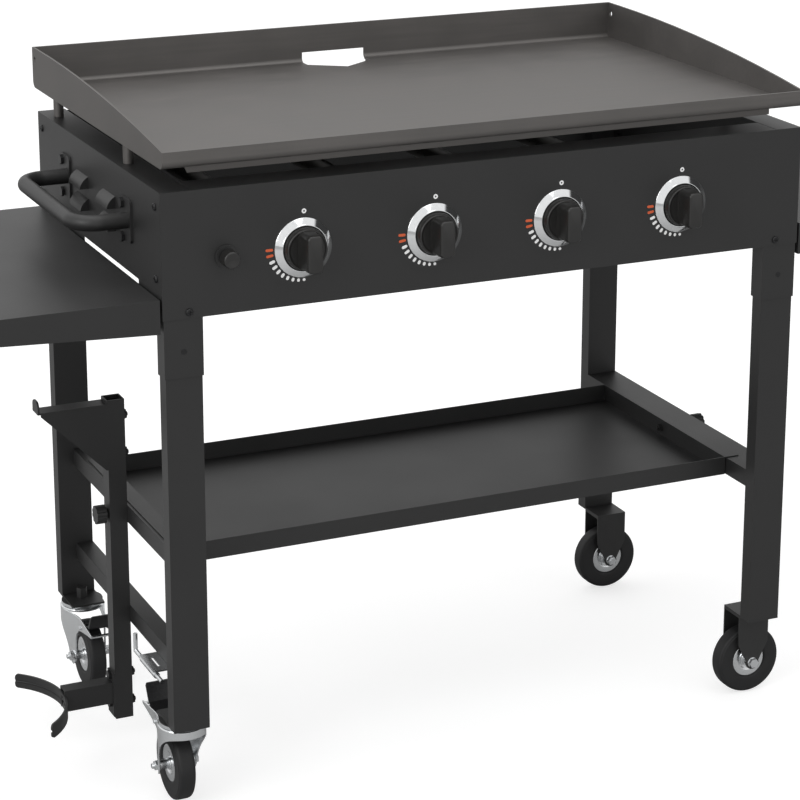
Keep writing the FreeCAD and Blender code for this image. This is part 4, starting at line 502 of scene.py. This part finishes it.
def finger_bar(middle, corners=40):
    """A rounded bar standing on the skirt. Each row is a rounded rectangle at one depth in front of the
    panel, with its own half width, half height and corner radius, and corners that are quarter circles."""
    depth = np.array([15.0, 18.0, 24.0, 34.0, 40.0, 42.4, 43.4, 43.95])
    half_wide = np.array([12.6, 11.4, 10.9, 10.6, 10.4, 10.0, 9.2, 7.9])
    half_tall = np.array([25.6, 25.2, 25.0, 24.8, 24.5, 24.0, 23.2, 21.9])
    corner = np.array([7.0, 6.6, 6.4, 6.2, 6.0, 5.6, 4.8, 3.5])
    around = np.arange(corners) * 2 * np.pi / corners + np.pi / corners
    wide = (half_wide - corner)[:, None] * np.sign(np.cos(around)) + corner[:, None] * np.cos(around)
    tall = (half_tall - corner)[:, None] * np.sign(np.sin(around)) + corner[:, None] * np.sin(around)
    forward_of_panel = -np.broadcast_to(depth[:, None], wide.shape)
    points = middle + np.stack([wide, forward_of_panel, tall], axis=-1)
    rows = len(depth)
    caps = [tuple(range(corners)), tuple(range(rows * corners - 1, (rows - 1) * corners - 1, -1))]
    return points.reshape(-1, 3), list(grid_faces(rows, corners, wrap_columns=True)) + caps


for number, middle in enumerate(knob_middles, start=1):
    knob = together(turned(skirt_profile, middle, panel_front), finger_bar(middle))
    new_piece("burner_knob_%d" % number, *knob, gloss_plastic, "knob_%d" % number, "gloss_black_plastic",
              "knob_%d" % number)

# Igniter: a black moulded barrel with a flange, held by a nut behind the panel, and a deep round push button
# in it. The button is glossy, the barrel and its nut are dull.
igniter_middle = (-377.0, knob_middles[0][1], knob_middles[0][2])
button_profile = rounded([(0.0, 8.6), (11.3, 8.6), (11.5, 10.5), (11.1, 23.6), (9.6, 25.0), (4.0, 24.3),
                          (0.0, 24.1)], radius=1.0)
button_stem = [(0.0, -21.0), (6.0, -21.0), (6.0, 8.8), (0.0, 8.8)]
button = together(turned(button_profile, igniter_middle, panel_front, steps=64),
                  turned(button_stem, igniter_middle, panel_front, steps=32))
new_piece("igniter_cap", *button, gloss_plastic, "igniter_button", "gloss_black_plastic", "igniter_button")

matt_plastic = blank_material("matt_black_polypropylene")
# Textured polypropylene: dark grey, dull, with a spark eroded grain drawn 1.4 mm wide.
matt_place = add(matt_plastic, "ShaderNodeTexCoord").outputs["Object"]
spark_grain = add(matt_plastic, "ShaderNodeTexNoise", {
    "Vector": matt_place, "Scale": 1000 / 1.4, "Detail": 3.0})
matt_tint = add(matt_plastic, "ShaderNodeMix", {
    "Factor": spark_grain.outputs["Fac"], "A": linear("#1d1d1d"), "B": linear("#2d2d2d")}, data_type="RGBA")
matt_bump = add(matt_plastic, "ShaderNodeBump", {
    "Height": spark_grain.outputs["Fac"], "Strength": 0.2, "Distance": 0.0003})
matt_shade = add(matt_plastic, "ShaderNodeBsdfPrincipled", {
    "Base Color": matt_tint.outputs["Result"], "Roughness": 0.5, "Normal": matt_bump.outputs["Normal"]})
add(matt_plastic, "ShaderNodeOutputMaterial", {"Surface": matt_shade.outputs["BSDF"]})
dress("igniter_body", matt_plastic, edge_mm=0.6)

# Handle: 21 mm steel tube bent into a flat U and welded to two upright plates, powder coated like the body.
# Two bolts through each plate hold it to the left panel.
dress("handle_bar", powder_coat)
dress("handle_brackets", powder_coat, edge_mm=0.5)

# Side shelves: tops of 1.2 mm steel with skirts folded down all round and rounded outer corners, powder
# coated. Two headed studs on each one's inner skirt hang in keyholes of the body.
dress("left_side_shelf", powder_coat, edge_mm=0.8)
dress("right_side_shelf", powder_coat, edge_mm=0.8)

# Legs and crossbars: rectangular steel tube with 1.5 mm walls, the crossbars welded between the legs, and
# each frame powder coated as one. The leg tops turn on bolts in the corner brackets.
for node in ("front_left_leg", "front_right_leg", "rear_left_leg", "rear_right_leg", "left_upper_crossbar",
             "left_lower_crossbar", "right_crossbar"):
    dress(node, powder_coat, edge_mm=1.0)
dress("frame_bolts", black_oxide, edge_mm=0.3)

# Tray shelf: one folded steel sheet with four walls and a lip at each end, which lies on the crossbars. It is
# powder coated and held by two fluted hand screws of black plastic.
dress("bottom_shelf", powder_coat, edge_mm=0.5)
dress("left_hand_screw", matt_plastic, edge_mm=0.5)
dress("right_hand_screw", matt_plastic, edge_mm=0.5)

# Gas bottle carrier: square tube post, folded hook with an upturned lip, and an arm with a strip curved to
# the bottle. All are powder coated and bolted together and to the left crossbars.
for node in ("tank_post", "tank_hook", "tank_cradle"):
    dress(node, powder_coat, edge_mm=0.5)

# Latch: a slotted plate with a rolled sleeve under the lower left crossbar, and a rod bent up at its end that
# slides in the sleeve. Both are pressed or drawn steel, zinc plated.
dress("latch_plate", zinc, edge_mm=0.3)
dress("latch_rod", zinc)

# Swivelling casters: each fork is pressed from sheet and zinc plated, a dome with a wall that runs round its
# front and down to the axle on both sides. It turns on a ball race under a left leg, and carries a blackened
# foot brake. Heights are over the floor, and runs are behind the swivel axis.
sheet_thickness = 2.2
bow_radius = 31.9
tail_half_width = 20.0
draw_in_length = 52.0
wall_end = 104
wall_top = [(-31.9, 117.5), (10, 117.5), (24, 117.3), (52, 115.8), (104, 110.4)]
wall_low = [(-31.9, 107.5), (-26, 107), (-20, 105.5), (-14, 102.5), (-8, 98), (0, 90.5), (6, 83.5),
            (11, 77), (15, 70), (18, 63), (20, 56), (21, 50), (22.2, 44), (24.5, 39), (28, 36.6), (31.5, 39),
            (33.8, 44), (35, 52), (35.6, 66), (36.5, 80), (39, 88.5), (44, 94), (52, 96.5), (66, 99.5),
            (85, 103), (104, 105.5)]


def capped_band(rows, columns):
    """Quads of a band whose last row meets its first, with a flat cap on its first and last column."""
    caps = [tuple(row * columns for row in range(rows)),
            tuple(row * columns + columns - 1 for row in reversed(range(rows)))]
    return list(grid_faces(rows, columns, wrap_rows=True)) + caps


def fork_wall(bevel=0.5):
    """The fork's wall about the swivel axis. Its plan is a half circle in front, and sides that draw in to
    the tail's width along half a cosine wave. Its edges' heights are interpolated along the run, at points
    that stand closest together beside the axle."""
    runs = np.concatenate([np.linspace(wall_end, 46, 15), np.linspace(44, 18, 53), np.linspace(17, 1, 17)])
    narrowing = 0.5 + 0.5 * np.cos(np.pi * np.clip(runs / draw_in_length, 0, 1))
    half = tail_half_width + (bow_radius - tail_half_width) * narrowing
    bow = np.linspace(0, np.pi, 49)
    left = np.stack([-half, runs], axis=1)
    front = bow_radius * np.stack([-np.cos(bow), -np.sin(bow)], axis=1)
    plan = np.concatenate([left, front, left[::-1] * (-1, 1)])
    way = np.gradient(plan, axis=0)
    inward = np.stack([-way[:, 1], way[:, 0]], axis=1) / np.linalg.norm(way, axis=1, keepdims=True)
    top = np.interp(plan[:, 1], *zip(*wall_top))
    low = np.interp(plan[:, 1], *zip(*wall_low))
    inner = sheet_thickness
    depth = np.array([0, 0, bevel, inner - bevel, inner, inner, inner - bevel, bevel])
    height = np.stack([low + bevel, top - bevel, top, top, top - bevel, low + bevel, low, low])
    flat = plan[None] + depth[:, None, None] * inward[None]
    points = np.concatenate([flat, height[..., None]], axis=2).reshape(-1, 3)
    return points, capped_band(len(depth), len(plan))


def tail_bridge(half, start, end, low, high):
    """The bridge across the fork's tail: a plain box between two runs and two heights."""
    points = [(x, y, z) for x in (-half, half) for y in (start, end) for z in (low, high)]
    faces = [(0, 1, 3, 2), (4, 6, 7, 5), (0, 4, 5, 1), (2, 3, 7, 6), (0, 2, 6, 4), (1, 5, 7, 3)]
    return np.array(points, float), faces


pedal_half_width = 17.2
tread_top = 136.9
tread_lean = 0.64
pedal_outline = np.array([(52, 104.0), (83, 115.6), (97, tread_top), (99.9, tread_top), (86.5, 113.8),
                          (52, 99.6)], float)


def pedal(corner=3.0):
    """The foot brake: its outline in (run, height), from the pin up the neck to the tread's top and back,
    carried across the fork. Near both sides the tread's top sinks along a quarter circle, which rounds it."""
    across_fork = np.linspace(-pedal_half_width, pedal_half_width, 25)
    past_corner = np.clip(corner - (pedal_half_width - np.abs(across_fork)), 0, corner)
    sunk = corner - np.sqrt(corner ** 2 - past_corner ** 2)
    at_top = (pedal_outline[:, 1] == tread_top)[:, None]
    rise = pedal_outline[:, None, 1] - at_top * sunk[None]
    run = pedal_outline[:, None, 0] - at_top * sunk[None] * tread_lean
    points = np.stack([np.broadcast_to(across_fork, rise.shape), run, rise], axis=-1).reshape(-1, 3)
    return points, capped_band(*rise.shape)


# Turned pieces of the fork: (radius, height) for the dome, (radius, distance from the middle) for the rest.
dome_profile = [(5.2, 118.0), (5.2, 120.1), (29.4, 120.1), (31.0, 119.6), (31.9, 118.4), (32.0, 116.6),
                (29.9, 116.6), (29.7, 117.4), (29.0, 118.0)]
nut_profile = [(0.0, 24.6), (7.2, 24.6), (7.2, 29.6), (6.5, 30.2), (0.0, 30.2)]
sleeve_profile = [(0.0, 12.2), (7.0, 12.2), (7.0, 24.0), (0.0, 24.0)]
thread_radius, thread_depth = 4.0, 0.45
thread_crests = [(thread_radius - thread_depth * (step % 2), 30.0 + 0.5 * step) for step in range(8)]
thread_profile = [(0.0, 29.9)] + thread_crests + [(3.4, 34.3), (0.0, 34.3)]
pin_profile = rounded([(0.0, -22.4), (3.0, -22.4), (3.0, 22.4), (0.0, 22.4)], radius=0.8)
pedal_hub_profile = rounded([(3.1, -pedal_half_width), (5.5, -pedal_half_width), (5.5, pedal_half_width),
                             (3.1, pedal_half_width)], radius=0.6)
to_left, to_right, on_floor = (-1, 0, 0), (1, 0, 0), (1, 1, 0)
front_swivel = joint_place("front_caster_swivel") * on_floor
axle_place = joint_place("front_left_wheel_spin") - front_swivel
pin_place = joint_place("front_brake") - front_swivel
axle_ends = [turned(profile, axle_place, way, steps) for way in (to_left, to_right)
             for profile, steps in ((nut_profile, 6), (sleeve_profile, 48))]
fork_points, fork_faces = together(
    fork_wall(), turned(dome_profile, (0, 0, 0), (0, 0, 1)),
    tail_bridge(half=19, start=98.2, end=103.8, low=105.6, high=107.9), *axle_ends,
    turned(thread_profile, axle_place, to_left, steps=32), turned(pin_profile, pin_place, to_right, steps=32))
pedal_points, pedal_faces = together(pedal(), turned(pedal_hub_profile, pin_place, to_right, steps=48))
for end, side in (("front", 1), ("rear", -1)):
    swivel = joint_place(end + "_caster_swivel") * on_floor
    fork = fork_points * (1, side, 1) + swivel
    foot = pedal_points * (1, side, 1) + swivel
    new_piece(end + "_caster_frame", fork, fork_faces, zinc, end + "_caster", "zinc", end + "_caster_fork")
    new_piece(end + "_foot_brake", foot, pedal_faces, black_oxide, end + "_pedal", "zinc",
              end + "_brake_pedal")

# Caster plates and fixed forks: the plate and nut above each caster are powder coated like the leg, the ball
# race below is bright. The right wheels' forks are bent from plate, welded to the legs and powder coated,
# with a zinc plated axle bolt and nut.
mount_underside = 124.9
axle_hardware_radius = 7.4


def two_finishes(name, mask):
    """A metal that is zinc plated where the mask is 1 and powder coated where it is 0."""
    metal = blank_material(name)
    place = add(metal, "ShaderNodeTexCoord").outputs["Object"]
    plated = mask(metal, place)
    spots = add(metal, "ShaderNodeTexNoise", {"Vector": place, "Scale": 1000 / 9.0, "Detail": 3.0})
    bright = add(metal, "ShaderNodeMix", {
        "Factor": spots.outputs["Fac"], "A": zinc_dull, "B": zinc_bright}, data_type="RGBA")
    dark = add(metal, "ShaderNodeMix", {
        "Factor": spots.outputs["Fac"], "A": powder_dark, "B": powder_light}, data_type="RGBA")
    tint = add(metal, "ShaderNodeMix", {
        "Factor": plated, "A": dark.outputs["Result"], "B": bright.outputs["Result"]}, data_type="RGBA")
    rough = add(metal, "ShaderNodeMapRange", {"Value": plated, "To Min": 0.46, "To Max": 0.3})
    shade = add(metal, "ShaderNodeBsdfPrincipled", {
        "Base Color": tint.outputs["Result"], "Metallic": plated, "Roughness": rough.outputs["Result"]})
    add(metal, "ShaderNodeOutputMaterial", {"Surface": shade.outputs["BSDF"]})
    return metal


def below_mount(metal, place):
    """1 below the underside of the mounting plates."""
    height = add(metal, "ShaderNodeSeparateXYZ", {"Vector": place}).outputs["Z"]
    below = add(metal, "ShaderNodeMath", {0: height, 1: mount_underside / 1000}, operation="LESS_THAN")
    return below.outputs["Value"]


def near_right_axle(metal, place):
    """1 close to the line through the right wheels' axles: it runs along Y, so only X and Z count."""
    axle = joint_place("front_right_wheel_spin") / 1000
    away = add(metal, "ShaderNodeVectorMath", {0: place, 1: (axle[0], 0.0, axle[2])}, operation="SUBTRACT")
    flat = add(metal, "ShaderNodeVectorMath", {
        0: away.outputs["Vector"], 1: (1.0, 0.0, 1.0)}, operation="MULTIPLY")
    radius = add(metal, "ShaderNodeVectorMath", {0: flat.outputs["Vector"]}, operation="LENGTH")
    near = add(metal, "ShaderNodeMath", {
        0: radius.outputs["Value"], 1: axle_hardware_radius / 1000}, operation="LESS_THAN")
    return near.outputs["Value"]


dress("caster_plates", two_finishes("coated_plate_and_zinc_race", below_mount), edge_mm=0.4)
dress("fixed_forks", two_finishes("coated_fork_and_zinc_axle", near_right_axle), edge_mm=0.5)

# Wheels: solid rubber tyres with a raised tread band, pressed on to steel discs with a rolled lip and a hub.
# The discs are zinc plated. Outlines are (radius, distance from the wheel's middle), for one half of it.
tyre_rubber = blank_material("black_tyre_rubber")
# Vulcanised rubber: soft black grey, dull, faintly dusty in 15 mm patches, with a 1.2 mm grain.
rubber_place = add(tyre_rubber, "ShaderNodeTexCoord").outputs["Object"]
dust = add(tyre_rubber, "ShaderNodeTexNoise", {"Vector": rubber_place, "Scale": 1000 / 15, "Detail": 4.0})
rubber_grain = add(tyre_rubber, "ShaderNodeTexNoise", {
    "Vector": rubber_place, "Scale": 1000 / 1.2, "Detail": 2.0})
rubber_tint = add(tyre_rubber, "ShaderNodeMix", {
    "Factor": dust.outputs["Fac"], "A": linear("#141415"), "B": linear("#1d1d1e")}, data_type="RGBA")
rubber_bump = add(tyre_rubber, "ShaderNodeBump", {
    "Height": rubber_grain.outputs["Fac"], "Strength": 0.15, "Distance": 0.0003})
rubber_shade = add(tyre_rubber, "ShaderNodeBsdfPrincipled", {
    "Base Color": rubber_tint.outputs["Result"], "Roughness": 0.6, "Normal": rubber_bump.outputs["Normal"]})
add(tyre_rubber, "ShaderNodeOutputMaterial", {"Surface": rubber_shade.outputs["BSDF"]})

half_width = 12.0
tyre_radius = 50.0
bore_radius = 4.06
tyre_half = [(26.0, -10.6), (27.6, -11.7), (30.0, -half_width), (45.2, -half_width), (45.9, -11.1),
             (46.9, -11.1), (48.4, -10.4), (49.6, -8.6), (tyre_radius, -5.8)]
rim_half = [(bore_radius, -half_width), (8.4, -half_width), (9.0, -11.2), (9.4, -7.6), (11.0, -7.0),
            (15.5, -9.4), (16.6, -9.9), (24.6, -10.2), (25.9, -9.4)]


def both_halves(half):
    """A wheel's outline: the half given, and its mirror image in the wheel's middle plane."""
    return half + [(radius, -distance) for radius, distance in reversed(half)]


tyre_profile = rounded(both_halves(tyre_half), radius=0.9, arc=4)
rim_profile = rounded(both_halves(rim_half), radius=0.8, arc=4)
for wheel, axle_axis in (("front_left", (1, 0, 0)), ("rear_left", (1, 0, 0)),
                         ("front_right", (0, 1, 0)), ("rear_right", (0, 1, 0))):
    body = wheel + "_wheel"
    centre = joint_place(body + "_spin")
    tyre = turned(tyre_profile, centre, axle_axis, steps=128)
    disc = turned(rim_profile, centre, axle_axis)
    new_piece(body + "_tyre", *tyre, tyre_rubber, body, "tyre_rubber", wheel + "_tyre")
    new_piece(body + "_disc", *disc, zinc, body, "zinc", wheel + "_rim")
